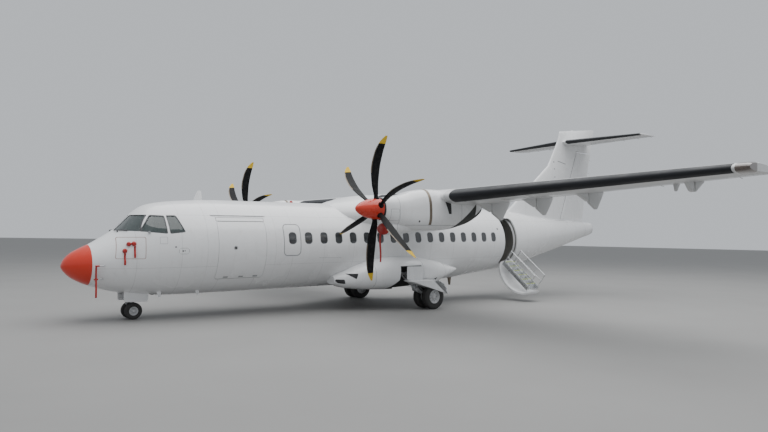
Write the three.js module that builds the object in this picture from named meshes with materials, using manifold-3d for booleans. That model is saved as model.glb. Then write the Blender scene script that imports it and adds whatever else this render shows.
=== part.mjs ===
import * as THREE from "three";
import { mergeVertices } from "three/addons/utils/BufferGeometryUtils.js";
import Module from "manifold-3d";

const wasm = await Module();
wasm.setup();

// A twin-engined high-wing airliner with a T tail, parked on its wheels with its rear airstair down.
// Millimetres. The nose points to -X, the port side is -Y, and the ground is Z = 0.
// Airframe pieces are drawn in the airframe's own frame: X counts aft from the nose tip,
// Z is the height above the middle line of the cabin, which climbs slightly towards the tail.

// Driving dimensions
const NOSE_AT = -11343;
const NOSE_AXIS_HEIGHT = 1884;
const NOSE_DOWN = 0.019;
const CABIN_HALF_WIDTH = 1400;
const CABIN_HALF_HEIGHT = 1335;
const WALL = 60;
const GAP = 0.3;
const CLEARANCE = 8;

const SEMI_SPAN = 12285;
const WING_BREAK = 4550;
const ROOT_CHORD = 2570;
const TIP_CHORD = 1410;
const WING_EDGE = 8830;
const WING_HEIGHT = 1420;
const DIHEDRAL = THREE.MathUtils.degToRad(1.87);
const INCIDENCE = THREE.MathUtils.degToRad(2);

const PROPELLER_OUT = 4050;
const PROPELLER_STATION = 6850;
const PROPELLER_HEIGHT = 1035;
const PROPELLER_RADIUS = 1965;
const BLADES = 6;
const FIRST_BLADE = -0.168;

const MAIN_AXLE_STATION = 10530;
const MAIN_TRACK = 4100;
const MAIN_TYRE = { radius: 405, width: 220, rim: 215 };
const MAIN_PAIR = 430;
const NOSE_AXLE_STATION = 1752;
const NOSE_TYRE = { radius: 225, width: 150, rim: 115 };
const NOSE_PAIR = 330;
const TYRE_SIDES = 24;
const HULL_SIDES = 24;
const LINING_SIDES = 16;
const COWL_SIDES = 20;
const BAY_SIDES = 12;
const SPINNER_SIDES = 20;
const HUB_SIDES = 16;

const SIDES = [
  { side: -1, name: "left" },
  { side: 1, name: "right" },
];

// Finishes
const finish = (color, roughness, metalness = 0) =>
  new THREE.MeshStandardMaterial({ color, roughness, metalness, flatShading: true });
const WHITE = finish(0xe4e6e8, 0.35);
const RED = finish(0xc83c26, 0.4);
const BLACK = finish(0x1b1c1e, 0.5);
const RUBBER = finish(0x161616, 0.85);
const METAL = finish(0xb4b6b8, 0.35, 0.8);
const DARK = finish(0x303234, 0.7);
const GLASS = finish(0x39424a, 0.1);

// Solids from rings and shapes

const point = (x, y, z) => new THREE.Vector3(x, y, z);

// A body that joins and cuts, from a closed three.js geometry; a body drawn inside out is turned.
function solid(geometry) {
  const bare = new THREE.BufferGeometry().setAttribute("position", geometry.getAttribute("position"));
  bare.setIndex(geometry.index);
  const merged = mergeVertices(bare, 1e-3);
  const vertProperties = merged.getAttribute("position").array;
  const faces = Array.from(merged.index.array);
  const build = (list) =>
    new wasm.Manifold(new wasm.Mesh({ numProp: 3, vertProperties, triVerts: new Uint32Array(list) }));
  const made = build(faces);
  return made.volume() < 0 ? build(faces.reverse()) : made;
}

// The largest single body of a cut, without the slivers that a cut can leave.
function largest(body) {
  const bodies = body.decompose();
  return bodies.reduce((best, next) => (next.volume() > best.volume() ? next : best));
}

const union = (...bodies) => bodies.reduce((all, next) => all.add(next));
const cutBy = (body, ...tools) => tools.reduce((left, tool) => left.subtract(tool), body);

function geometryOf(body) {
  const { numProp, vertProperties, triVerts } = body.getMesh();
  const positions = new Float32Array((vertProperties.length / numProp) * 3);
  for (let i = 0; i < positions.length / 3; i++)
    positions.set(vertProperties.subarray(i * numProp, i * numProp + 3), i * 3);
  const geometry = new THREE.BufferGeometry();
  geometry.setAttribute("position", new THREE.BufferAttribute(positions, 3));
  geometry.setIndex(Array.from(triVerts));
  geometry.computeVertexNormals();
  return geometry;
}

// Each point of a planar ring moved out by a distance along the ring's own normal.
function swollen(ring, distance) {
  const normal = point(0, 0, 0);
  ring.forEach((p, i) => normal.add(p.clone().cross(ring[(i + 1) % ring.length])));
  normal.normalize();
  const outward = (a, b) => b.clone().sub(a).cross(normal).normalize();
  return ring.map((p, i) => {
    const before = ring[(i + ring.length - 1) % ring.length];
    const after = ring[(i + 1) % ring.length];
    const lift = outward(before, p).add(outward(p, after));
    return p.clone().addScaledVector(lift, (2 * distance) / Math.max(lift.lengthSq(), 1));
  });
}

const middleOf = (ring) =>
  ring.reduce((sum, p) => sum.add(p), point(0, 0, 0)).divideScalar(ring.length);

// The same rings all moved out by a distance, with the two end rings moved apart by it too.
function grownRings(rings, distance) {
  const last = rings.length - 1;
  const push = (end, next) =>
    middleOf(rings[end]).sub(middleOf(rings[next])).setLength(Math.abs(distance));
  const ends = { 0: push(0, 1), [last]: push(last, last - 1) };
  return rings.map((ring, i) =>
    swollen(ring, distance).map((p) => (ends[i] ? p.add(ends[i]) : p)),
  );
}

// A closed body through rings of equal count, its two ends closed by strips across each ring.
function loft(rings, grow = 0) {
  const body = grow ? grownRings(rings, grow) : rings;
  const count = body[0].length;
  const faces = [];
  for (let r = 0; r + 1 < body.length; r++)
    for (let i = 0; i < count; i++) {
      const a = r * count + i;
      const b = r * count + ((i + 1) % count);
      faces.push(a, b, a + count, b, b + count, a + count);
    }
  const end = (first, flip) => {
    let low = 0;
    let high = count - 1;
    while (high - low > 1) {
      const corners = [[low, low + 1, high], [low + 1, high - 1, high]];
      for (const [a, b, c] of high - low > 2 ? corners : corners.slice(0, 1))
        faces.push(first + a, first + (flip ? c : b), first + (flip ? b : c));
      low += 1;
      high -= 1;
    }
  };
  end(0, true);
  end((body.length - 1) * count, false);
  const geometry = new THREE.BufferGeometry().setFromPoints(body.flat());
  geometry.setIndex(faces);
  return solid(geometry);
}

const squared = (v, power) => Math.sign(v) * Math.abs(v) ** power;

// An ellipse of points in the plane of one station, its upper and lower halves of their own height;
// a power below one squares it up towards a box with round corners.
function hullRing(section, inset = 0, sides = HULL_SIDES) {
  const { station, bottom, top, half, widest, across = 0, power = 1 } = section;
  return Array.from({ length: sides }, (_, i) => {
    const angle = (2 * Math.PI * i) / sides;
    const rise = squared(Math.cos(angle), power);
    const reach = rise > 0 ? top - widest : widest - bottom;
    const out = (half - inset) * squared(Math.sin(angle), power);
    return point(station, across + out, widest + (reach - inset) * rise);
  });
}

function block(x0, x1, y0, y1, z0, z1) {
  const geometry = new THREE.BoxGeometry(x1 - x0, y1 - y0, z1 - z0);
  return solid(geometry.translate((x0 + x1) / 2, (y0 + y1) / 2, (z0 + z1) / 2));
}

// A rod with flat ends between two points.
function rod(from, to, radius, sides = 12) {
  const along = to.clone().sub(from);
  const geometry = new THREE.CylinderGeometry(radius, radius, along.length(), sides);
  const turn = new THREE.Quaternion().setFromUnitVectors(point(0, 1, 0), along.normalize());
  geometry.applyQuaternion(turn);
  return solid(geometry.translate((from.x + to.x) / 2, (from.y + to.y) / 2, (from.z + to.z) / 2));
}

// A turned body: a profile of radius and distance along an axis that starts at one point.
function turned(profile, origin, axis, sides) {
  const geometry = new THREE.LatheGeometry(profile.map(([r, d]) => new THREE.Vector2(r, d)), sides);
  geometry.applyQuaternion(new THREE.Quaternion().setFromUnitVectors(point(0, 1, 0), axis));
  return solid(geometry.translate(origin.x, origin.y, origin.z));
}

const outlineOf = (corners) => new THREE.Shape(corners.map(([a, b]) => new THREE.Vector2(a, b)));

// A rectangle with round corners.
function roundedOutline(a0, a1, b0, b1, radius) {
  const shape = new THREE.Shape();
  shape.moveTo(a0 + radius, b0);
  shape.absarc(a1 - radius, b0 + radius, radius, -Math.PI / 2, 0);
  shape.absarc(a1 - radius, b1 - radius, radius, 0, Math.PI / 2);
  shape.absarc(a0 + radius, b1 - radius, radius, Math.PI / 2, Math.PI);
  shape.absarc(a0 + radius, b0 + radius, radius, Math.PI, 1.5 * Math.PI);
  return shape;
}

// A prism whose outline is seen from the side, between two distances across the airframe.
function sidePrism(shape, y0, y1) {
  const settings = { depth: y1 - y0, bevelEnabled: false, curveSegments: 4 };
  const geometry = new THREE.ExtrudeGeometry(shape, settings);
  return solid(geometry.rotateX(Math.PI / 2).translate(0, y1, 0));
}

// A prism whose outline is seen from the front, between two stations.
function frontPrism(shape, x0, x1) {
  const settings = { depth: x1 - x0, bevelEnabled: false, curveSegments: 4 };
  const geometry = new THREE.ExtrudeGeometry(shape, settings);
  const toFront = new THREE.Matrix4().makeBasis(point(0, 1, 0), point(0, 0, 1), point(1, 0, 0));
  return solid(geometry.applyMatrix4(toFront).translate(x0, 0, 0));
}

// The scene graph: fixed airframe, and a pivot group for everything that turns

const airliner = new THREE.Group();
airliner.name = "airliner";
const airframe = new THREE.Group();
airframe.position.set(NOSE_AT, 0, NOSE_AXIS_HEIGHT);
airframe.rotation.y = -NOSE_DOWN;
airliner.add(airframe);
const ground = new THREE.Group();
ground.position.set(NOSE_AT, 0, 0);
airliner.add(ground);

function place(name, body, material, group) {
  const geometry = geometryOf(body);
  geometry.translate(...group.userData.drawnAt ?? [0, 0, 0]);
  const mesh = new THREE.Mesh(geometry, material);
  mesh.name = name;
  group.add(mesh);
  return mesh;
}

// A pivot: its pieces are drawn in the parent's frame and turn about this point.
function pivot(name, parent, at) {
  const group = new THREE.Group();
  group.name = name;
  group.position.copy(at);
  group.userData.drawnAt = [-at.x, -at.y, -at.z];
  parent.add(group);
  return group;
}

// Fuselage: one hull through its stations, parted where the real sections meet

const CABIN = { bottom: -CABIN_HALF_HEIGHT, top: CABIN_HALF_HEIGHT, half: CABIN_HALF_WIDTH, widest: 0 };
const HULL = [
  { station: 0, bottom: -500, top: -420, half: 45, widest: -460 },
  { station: 40, bottom: -575, top: -320, half: 150, widest: -450 },
  { station: 190, bottom: -740, top: -150, half: 335, widest: -440 },
  { station: 460, bottom: -905, top: 10, half: 545, widest: -420 },
  { station: 640, bottom: -980, top: 95, half: 650, widest: -405 },
  { station: 920, bottom: -1080, top: 265, half: 790, widest: -370 },
  { station: 1240, bottom: -1165, top: 475, half: 930, widest: -320 },
  { station: 1580, bottom: -1230, top: 815, half: 1050, widest: -250 },
  { station: 1850, bottom: -1265, top: 1055, half: 1130, widest: -190 },
  { station: 2070, bottom: -1290, top: 1160, half: 1190, widest: -150 },
  { station: 2410, bottom: -1318, top: 1228, half: 1265, widest: -90 },
  { station: 2990, bottom: -1332, top: 1290, half: 1345, widest: -30 },
  { station: 3800, ...CABIN, top: 1330, half: 1392 },
  { station: 4300, ...CABIN },
  { station: 12900, ...CABIN },
  { station: 13800, bottom: -1240, top: 1330, half: 1385, widest: 20 },
  { station: 15700, bottom: -1065, top: 1295, half: 1280, widest: 60 },
  { station: 16500, bottom: -985, top: 1265, half: 1185, widest: 110 },
  { station: 18200, bottom: -620, top: 1090, half: 850, widest: 240 },
  { station: 20130, bottom: -215, top: 965, half: 500, widest: 380 },
  { station: 21730, bottom: 165, top: 880, half: 250, widest: 520 },
  { station: 22490, bottom: 350, top: 830, half: 120, widest: 600 },
  { station: 22570, bottom: 470, top: 770, half: 60, widest: 620 },
];
const hullRings = HULL.map((section) => hullRing(section));
const hull = loft(hullRings);
const hullClear = loft(hullRings, GAP * 2);
const lining = (stations) => loft(stations.map((section) => hullRing(section, WALL, LINING_SIDES)));
const inside = lining(HULL);

const RADOME_END = 620;
const COCKPIT_END = 3300;
const BAGGAGE_END = 5300;
const CABIN_END = 14400;
const ENTRY_END = 16600;
const FAR = 30000;
const slab = (x0, x1) => block(x0 + GAP / 2, x1 - GAP / 2, -FAR, FAR, -FAR, FAR);

place("radome", hull.intersect(slab(-FAR, RADOME_END)), RED, airframe);

// Cockpit: windows are cut through the wall, and one band of glazing stands behind them
const WINDSHIELD = [[-55, 470], [-55, 850], [-640, 850], [-880, 430]];
const SIDE_WINDOWS = [
  [[1670, 430], [1950, 840], [2270, 830], [2290, 375]],
  [[2365, 375], [2330, 835], [2560, 835], [2730, 415]],
];
const GLAZING_SPAN = { from: 1120, to: 2850, low: 340, high: 905 };
const COCKPIT = { from: 1050, floor: -520 };
const NOSE_BAY = { from: 1400, to: 2220, half: 330, roof: -720 };

const windowCuts = SIDES.flatMap(({ side }) => {
  const mirrored = WINDSHIELD.map(([y, z]) => [-side * y, z]);
  const front = frontPrism(outlineOf(side < 0 ? WINDSHIELD : mirrored), 1100, 2060);
  const out = [side * 500, side * 2000].sort((a, b) => a - b);
  return [front, ...SIDE_WINDOWS.map((corners) => sidePrism(outlineOf(corners), ...out))];
});
const cockpitSpace = inside.intersect(
  block(COCKPIT.from, COCKPIT_END - WALL, -FAR, FAR, COCKPIT.floor, FAR),
);
const noseBay = block(NOSE_BAY.from, NOSE_BAY.to, -NOSE_BAY.half, NOSE_BAY.half, -FAR, NOSE_BAY.roof);
place(
  "nose_fuselage",
  cutBy(hull.intersect(slab(RADOME_END, COCKPIT_END)), cockpitSpace, noseBay, ...windowCuts),
  WHITE,
  airframe,
);

const { from, to, low, high } = GLAZING_SPAN;
const liningInset = (distance) => loft(HULL.map((section) => hullRing(section, distance, LINING_SIDES)));
const glazingShell = liningInset(WALL + 1).subtract(liningInset(WALL + 13));
const glazing = glazingShell.intersect(block(from, to, -FAR, FAR, low, high));
place("cockpit_glazing", largest(glazing), GLASS, airframe);

// Cockpit interior: floor, instrument panel under its coaming, pedestal and two seats in one piece
const seats = SIDES.map(({ side }) =>
  union(
    block(2080, 2520, side * 480 - 220, side * 480 + 220, -300, -140),
    block(2460, 2580, side * 480 - 220, side * 480 + 220, -180, 480),
    block(2200, 2440, side * 480 - 90, side * 480 + 90, -500, -250),
  ),
);
const panel = union(
  block(1560, 1660, -760, 760, -480, 300),
  block(1500, 1720, -640, 640, 270, 330),
  block(1600, 2300, -130, 130, -500, -80),
);
const cockpitFloor = block(1500, 2700, -800, 800, COCKPIT.floor + GAP, -480);
place("cockpit_interior", union(cockpitFloor, panel, ...seats), DARK, airframe);

// Baggage bay behind the cockpit, with its large door to port
const CARGO = { from: 3600, to: 5000, sill: -876, head: 694, corner: 60, thick: 80 };
const cargoSpace = inside.intersect(
  block(COCKPIT_END + WALL, BAGGAGE_END - WALL, -FAR, FAR, CARGO.sill, FAR),
);
const cargoCut = (grow) =>
  sidePrism(
    roundedOutline(
      CARGO.from - grow, CARGO.to + grow, CARGO.sill - grow, CARGO.head + grow, CARGO.corner + grow,
    ),
    -2000,
    -400,
  );
const forwardFuselage = cutBy(
  hull.intersect(slab(COCKPIT_END, BAGGAGE_END)),
  cargoSpace,
  cargoCut(CLEARANCE),
);
const bladeAntenna = sidePrism(
  outlineOf([[3330, 1250], [3640, 1250], [3600, 1590], [3500, 1590]]), -12, 12,
);
place("forward_fuselage", union(forwardFuselage, bladeAntenna), WHITE, airframe);

// The skin of a door: the hull down to the door's own thickness, inside its outline.
const doorInside = loft(HULL.map((section) => hullRing(section, CARGO.thick)));
const skinIn = (cut) => largest(hull.subtract(doorInside).intersect(cut));
const sideOfHull = (station, height) => {
  const after = HULL.findIndex((section) => section.station > station);
  const [a, b] = [HULL[after - 1], HULL[after]];
  const share = (station - a.station) / (b.station - a.station);
  const mix = (key) => a[key] + share * (b[key] - a[key]);
  const rise = height - mix("widest");
  const reach = rise > 0 ? mix("top") - mix("widest") : mix("widest") - mix("bottom");
  return mix("half") * Math.sqrt(1 - (rise / reach) ** 2);
};
const cargoHinge = point(
  CARGO.from,
  -sideOfHull(CARGO.to, CARGO.head + CLEARANCE),
  CARGO.head + CLEARANCE,
);
const cargoPivot = pivot("cargo_door_hinge", airframe, cargoHinge);
place("cargo_door", skinIn(cargoCut(0)), WHITE, cargoPivot);

// Wing: columns are the distance out, leading edge, chord, height of the chord line, thickness share

const WING = [
  { out: 0, edge: WING_EDGE, chord: ROOT_CHORD, height: WING_HEIGHT, thickness: 0.18 },
  { out: WING_BREAK, edge: WING_EDGE, chord: ROOT_CHORD, height: WING_HEIGHT, thickness: 0.18 },
  {
    out: SEMI_SPAN,
    edge: WING_EDGE + 650,
    chord: TIP_CHORD,
    height: WING_HEIGHT + (SEMI_SPAN - WING_BREAK) * Math.tan(DIHEDRAL),
    thickness: 0.16,
  },
];
const TAILPLANE = [
  { out: 0, edge: 20225, chord: 1950, height: 4480, thickness: 0.12 },
  { out: 3560, edge: 20825, chord: 1140, height: 4480, thickness: 0.1 },
];
const CAMBER = 0.02;
const EDGE_POINTS = [0.6, 0.45, 0.3, 0.18, 0.09, 0.035, 0.008];

function stationAt(table, out) {
  const after = Math.max(1, table.findIndex((row) => row.out >= out));
  const [a, b] = [table[after - 1], table[after]];
  const share = (out - a.out) / (b.out - a.out);
  const mix = (key) => a[key] + share * (b[key] - a[key]);
  return { out, edge: mix("edge"), chord: mix("chord"), height: mix("height"), thickness: mix("thickness") };
}

// Half the thickness of the profile, as a share of the chord, at a share of the chord.
const halfThick = (f, thickness) =>
  5 * thickness * (0.2969 * Math.sqrt(f) - 0.126 * f - 0.3516 * f ** 2 + 0.2843 * f ** 3 - 0.1036 * f ** 4) +
  0.0015 * f;

// A surface: its stations, the camber and incidence of its profile, and where its moving part is hinged.
const wingSurface = { table: WING, camber: CAMBER, incidence: INCIDENCE, hinge: 0.74 };
const tailSurface = { table: TAILPLANE, camber: 0, incidence: 0, hinge: 0.66 };

function onProfile({ camber, incidence }, row, side, f, over) {
  const height = 4 * camber * f * (1 - f) + over - incidence * f;
  return point(row.edge + row.chord * f, side * row.out, row.height + row.chord * height);
}

// The whole profile at one distance out: over the top from the trailing edge, back along the underside.
function profileRing(surface, side, out, squeeze = 1) {
  const row = stationAt(surface.table, out);
  const at = (f, sign) =>
    onProfile(surface, row, side, f, sign * squeeze * halfThick(f, row.thickness));
  const shares = [1, 0.85, 0.72, ...EDGE_POINTS];
  return [
    ...shares.map((f) => at(f, 1)),
    at(0, 0),
    ...shares.toReversed().map((f) => at(f, -1)),
  ];
}

// The moving part at one distance out: a round nose about the hinge, flat sides to the trailing edge.
function movingRing(surface, side, out) {
  const row = stationAt(surface.table, out);
  const { hinge } = surface;
  const nose = halfThick(hinge, row.thickness);
  const sides = (sign) =>
    [1, 0.87].map((f) => onProfile(surface, row, side, f, sign * halfThick(f, row.thickness)));
  const around = [90, 130, 155, 180, 205, 230, 270].map((degrees) => {
    const angle = THREE.MathUtils.degToRad(degrees);
    const middle = onProfile(surface, row, side, hinge, 0);
    const radius = nose * row.chord;
    return middle.add(point(radius * Math.cos(angle), 0, radius * Math.sin(angle)));
  });
  return [...sides(1), ...around, ...sides(-1).toReversed()];
}

// The room for a moving part, cut out of the fixed surface.
function notch(surface, side, from, to) {
  const rings = [from, to].map((out) => {
    const row = stationAt(surface.table, out);
    const start = surface.hinge - halfThick(surface.hinge, row.thickness) - CLEARANCE / row.chord;
    return [[start, 0.2], [1.2, 0.2], [1.2, -0.2], [start, -0.2]].map(([f, over]) =>
      onProfile({ ...surface, camber: 0 }, row, side, f, over),
    );
  });
  return loft(rings);
}

const FLAP_INNER = { from: 1520, to: 3540 };
const FLAP_OUTER = { from: WING_BREAK + 40, to: 9140 };
const AILERON = { from: 9160, to: 11960 };
const FLAP_HINGE = { share: 0.7, drop: 330 };
const FLAP_END_GAP = 24;
const movingPart = (surface, side, { from, to }, gap = CLEARANCE) =>
  loft([from + gap, to - gap].map((out) => movingRing(surface, side, out)));

// Hinge fairings under the flaps: a deep blade, whose rear half, aft of the hinge, moves with the flap.
const FAIRINGS = { inner: [1900, 3150], outer: [4700, 6370, 8040], aileron: [10720] };
const FAIRING_HALF = 45;
function flapHingeAt(out) {
  const row = stationAt(WING, out);
  const scale = row.chord / ROOT_CHORD;
  return { x: row.edge + row.chord * FLAP_HINGE.share, z: row.height - FLAP_HINGE.drop * scale, scale };
}
function fairing(side, out, corners) {
  const { x, z, scale } = flapHingeAt(out);
  const shape = outlineOf(corners.map(([dx, dz]) => [x + dx * scale, z + dz * scale]));
  return sidePrism(shape, side * out - FAIRING_HALF, side * out + FAIRING_HALF);
}
const FIXED_FAIRING = [[-900, 260], [-37, -98], [-12, 0], [-30, 260]];
const MOVING_FAIRING = [
  [0, 0], [60, -140], [400, -335], [465, -325], [840, 225], [830, 240], [640, 254], [300, 280], [0, 270],
];
const AILERON_FAIRING = {
  fixed: [[-620, 250], [-220, -135], [-60, -175], [-60, 260]],
  moving: [[60, 190], [85, -165], [130, -140], [730, 222], [600, 245], [200, 290], [100, 300]],
};
const AILERON_HORN = {
  out: 10250,
  corners: [[110, 230], [220, -55], [280, -55], [500, 225], [400, 260], [180, 290]],
};

const wingRings = (side, outs) => outs.map(([out, squeeze]) => profileRing(wingSurface, side, out, squeeze));
const centreRings = [-WING_BREAK, 0, WING_BREAK].map((out) =>
  profileRing(wingSurface, Math.sign(out) || 1, Math.abs(out)),
);
const centreWing = loft(centreRings);

// The fairing that carries the wing over the cabin roof.
const SADDLE = [
  { station: 7700, bottom: 500, top: 1330, half: 800, widest: 900 },
  { station: 8030, bottom: 450, top: 1440, half: 1080, widest: 940 },
  { station: 8370, bottom: 300, top: 1520, half: 1230, widest: 940 },
  { station: 8700, bottom: 280, top: 1600, half: 1310, widest: 930 },
  { station: 9600, bottom: 250, top: 1680, half: 1350, widest: 950 },
  { station: 11000, bottom: 300, top: 1560, half: 1310, widest: 950 },
  { station: 12200, bottom: 800, top: 1420, half: 900, widest: 1080 },
  { station: 13000, bottom: 1200, top: 1352, half: 250, widest: 1250 },
];
const saddleRings = SADDLE.map((section) => hullRing(section, 0, 24));
const saddle = cutBy(loft(saddleRings), hullClear);
const innerNotches = SIDES.map(({ side }) => notch(wingSurface, side, FLAP_INNER.from, FLAP_INNER.to));
const innerFairings = SIDES.flatMap(({ side }) =>
  FAIRINGS.inner.map((out) => fairing(side, out, FIXED_FAIRING)),
);
place(
  "wing_centre",
  union(cutBy(union(centreWing, largest(saddle)), ...innerNotches), ...innerFairings),
  WHITE,
  airframe,
);

for (const { side, name } of SIDES) {
  const outs = [[WING_BREAK + GAP, 1], [12160, 1], [12240, 0.92], [SEMI_SPAN, 0.7]];
  const cuts = [FLAP_OUTER, AILERON].map(({ from, to }) => notch(wingSurface, side, from, to));
  const blades = [
    ...FAIRINGS.outer.map((out) => fairing(side, out, FIXED_FAIRING)),
    ...FAIRINGS.aileron.map((out) => fairing(side, out, AILERON_FAIRING.fixed)),
  ];
  const wing = union(cutBy(loft(wingRings(side, outs)), ...cuts), ...blades);
  place(`wing_${name}`, wing, WHITE, airframe);

  const flaps = [
    { piece: `flap_inner_${name}`, span: FLAP_INNER, fairings: FAIRINGS.inner },
    { piece: `flap_outer_${name}`, span: FLAP_OUTER, fairings: FAIRINGS.outer },
  ];
  for (const { piece, span, fairings } of flaps) {
    const { x, z } = flapHingeAt(span.from);
    const hinge = pivot(`${piece}_hinge`, airframe, point(x, side * span.from, z));
    const moving = fairings.map((out) => fairing(side, out, MOVING_FAIRING));
    place(piece, union(movingPart(wingSurface, side, span, FLAP_END_GAP), ...moving), WHITE, hinge);
  }

  const root = stationAt(WING, AILERON.from);
  const aileronHinge = onProfile(wingSurface, root, side, wingSurface.hinge, 0);
  const aileron = pivot(`aileron_${name}_hinge`, airframe, aileronHinge);
  const aileronBlades = [
    ...FAIRINGS.aileron.map((out) => fairing(side, out, AILERON_FAIRING.moving)),
    fairing(side, AILERON_HORN.out, AILERON_HORN.corners),
  ];
  place(`aileron_${name}`, union(movingPart(wingSurface, side, AILERON), ...aileronBlades), WHITE, aileron);
}

// Fuselage sections under and behind the wing

const wingClear = loft(centreRings, GAP * 2);
const EXIT = { from: 5560, to: 6100, low: -270, high: 630, corner: 120, thick: 40 };
const exitCut = (side, grow) =>
  sidePrism(
    roundedOutline(EXIT.from - grow, EXIT.to + grow, EXIT.low - grow, EXIT.high + grow, EXIT.corner + grow),
    ...(side < 0 ? [-2000, -800] : [800, 2000]),
  );
const exitInside = loft(HULL.map((section) => hullRing(section, EXIT.thick)));
const exitRoom = loft(HULL.map((section) => hullRing(section, EXIT.thick + 1)));
const exitRecess = SIDES.map(({ side }) => exitCut(side, 4).subtract(exitRoom));
place(
  "centre_fuselage",
  cutBy(hull.intersect(slab(BAGGAGE_END, CABIN_END)), wingClear, ...exitRecess),
  WHITE,
  airframe,
);
for (const { side, name } of SIDES) {
  const hatch = largest(hull.subtract(exitInside).intersect(exitCut(side, 0)));
  place(`emergency_exit_${name}`, hatch, WHITE, airframe);
}

// Entry: the rear vestibule with the airstair doorway to port and the service door to starboard
const ENTRY = { from: 15050, to: 15800, sill: -802, head: 950, corner: 140 };
const SERVICE = { from: 15120, to: 15730, sill: -400, head: 820, corner: 120 };
const VESTIBULE = { from: 14700, to: 16300, floor: -802, ceiling: 1020 };
const entryCut = (grow) =>
  sidePrism(
    roundedOutline(ENTRY.from - grow, ENTRY.to + grow, ENTRY.sill - grow, ENTRY.head + grow, ENTRY.corner),
    -2000,
    -300,
  );
const serviceCut = (grow) =>
  sidePrism(
    roundedOutline(
      SERVICE.from - grow, SERVICE.to + grow, SERVICE.sill - grow, SERVICE.head + grow, SERVICE.corner,
    ),
    300,
    2000,
  );
const vestibule = inside.intersect(
  block(VESTIBULE.from, VESTIBULE.to, -FAR, FAR, VESTIBULE.floor, VESTIBULE.ceiling),
);
place(
  "rear_fuselage",
  cutBy(hull.intersect(slab(CABIN_END, ENTRY_END)), vestibule, entryCut(CLEARANCE), serviceCut(4)),
  WHITE,
  airframe,
);
const serviceInside = loft(HULL.map((section) => hullRing(section, WALL)));
const serviceDoor = largest(hull.subtract(serviceInside).intersect(serviceCut(0)));
place("service_door", serviceDoor, WHITE, airframe);

// Airstair: the door's own skin, steps across it and a rail on each side, all turned open about the sill
const AIRSTAIR_OPEN = THREE.MathUtils.degToRad(128);
const STEPS = 6;
const HANDRAIL = { reach: 560, radius: 14 };
const stairHinge = point(ENTRY.from, -sideOfHull(ENTRY.from, ENTRY.sill) - 12, ENTRY.sill - 8);
const stairSkin = skinIn(entryCut(0).intersect(block(-FAR, FAR, -FAR, FAR, ENTRY.sill + 12, FAR)));
const stairPivot = pivot("airstair_hinge", airframe, stairHinge);
stairPivot.rotation.x = AIRSTAIR_OPEN;
place("airstair_door", stairSkin, WHITE, stairPivot);

const stepHeight = (ENTRY.head - ENTRY.sill) / (STEPS + 1);
const chordAcross = stairHinge.y + 175;
const treads = Array.from({ length: STEPS }, (_, i) => {
  const up = ENTRY.sill + stepHeight * (i + 1);
  const tread = new THREE.BoxGeometry(ENTRY.to - ENTRY.from - 160, 240, 30);
  tread.rotateX(-(Math.PI - AIRSTAIR_OPEN));
  return solid(tread.translate((ENTRY.from + ENTRY.to) / 2, chordAcross, up));
});
const rails = [ENTRY.from + 95, ENTRY.to - 95].map((x) => {
  const foot = point(x, chordAcross + 40, ENTRY.sill + 160);
  const top = point(x, chordAcross + 40, ENTRY.head - 160);
  const out = point(0, HANDRAIL.reach, 0);
  const bars = [
    [foot, foot.clone().add(out)],
    [top, top.clone().add(out)],
    [foot.clone().add(out), top.clone().add(out)],
    [foot, top],
  ];
  return union(...bars.map(([a, b]) => rod(a, b, HANDRAIL.radius, 6)));
});
const stringers = [ENTRY.from + 85, ENTRY.to - 105].map((x) =>
  block(x, x + 20, chordAcross - 90, chordAcross + 90, ENTRY.sill + 120, ENTRY.head - 120),
);
place("airstair_steps", union(...treads, ...stringers, ...rails), METAL, stairPivot);

// Tail cone: a hollow shell, open towards the bulkhead behind the vestibule
const TAIL_SPACE_END = 20000;
const tailSpace = inside.intersect(block(ENTRY_END - 100, TAIL_SPACE_END, -FAR, FAR, -FAR, FAR));
place("tail_cone", hull.intersect(slab(ENTRY_END, FAR)).subtract(tailSpace), WHITE, airframe);

// Fin and rudder: columns are height, leading edge, trailing edge and half thickness at the hinge line
const FIN_FOOT = 820;
const FIN_HINGE = { foot: 20085, rake: 0.3955 };
const FIN = [
  { height: FIN_FOOT, edge: 16020, trail: 21790, half: 120 },
  { height: 2580, edge: 18320, trail: 22130, half: 115 },
  { height: 3360, edge: 19330, trail: 22290, half: 105 },
  { height: 4400, edge: 19950, trail: 22590, half: 90 },
].map((row) => ({ ...row, hinge: FIN_HINGE.foot + FIN_HINGE.rake * (row.height - FIN_FOOT) }));
// The rudder's ends are level but its hinge leans aft, so its corners rise and fall as it turns.
const RUDDER = { low: 1010, high: 4080, roomUnder: 30, roomOver: 55 };
const finAt = (height) => {
  const after = FIN.findIndex((row) => row.height >= height);
  const [a, b] = [FIN[after - 1], FIN[after]];
  const share = (height - a.height) / (b.height - a.height);
  const mix = (key) => a[key] + share * (b[key] - a[key]);
  return { height, edge: mix("edge"), trail: mix("trail"), hinge: mix("hinge"), half: mix("half") };
};
function finRing({ height, edge, trail, hinge, half }) {
  const run = hinge - edge;
  const flank = [
    [trail, 5],
    [hinge, half],
    [edge + 0.55 * run, 1.25 * half],
    [edge + 0.25 * run, 1.05 * half],
  ];
  const nose = [[edge + 0.07 * run, 0.6 * half], [edge + 0.015 * run, 0.25 * half]];
  const starboard = [...flank, ...nose].map(([x, y]) => point(x, y, height));
  const port = starboard.map((p) => point(p.x, -p.y, p.z)).toReversed();
  return [...starboard, point(edge, 0, height), ...port];
}
function rudderRing({ height, trail, hinge, half }) {
  const around = [90, 130, 155, 180, 205, 230, 270].map((degrees) => {
    const angle = THREE.MathUtils.degToRad(degrees);
    return point(hinge + half * Math.cos(angle), half * Math.sin(angle), height);
  });
  return [point(trail, 5, height), ...around, point(trail, -5, height)];
}
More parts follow.
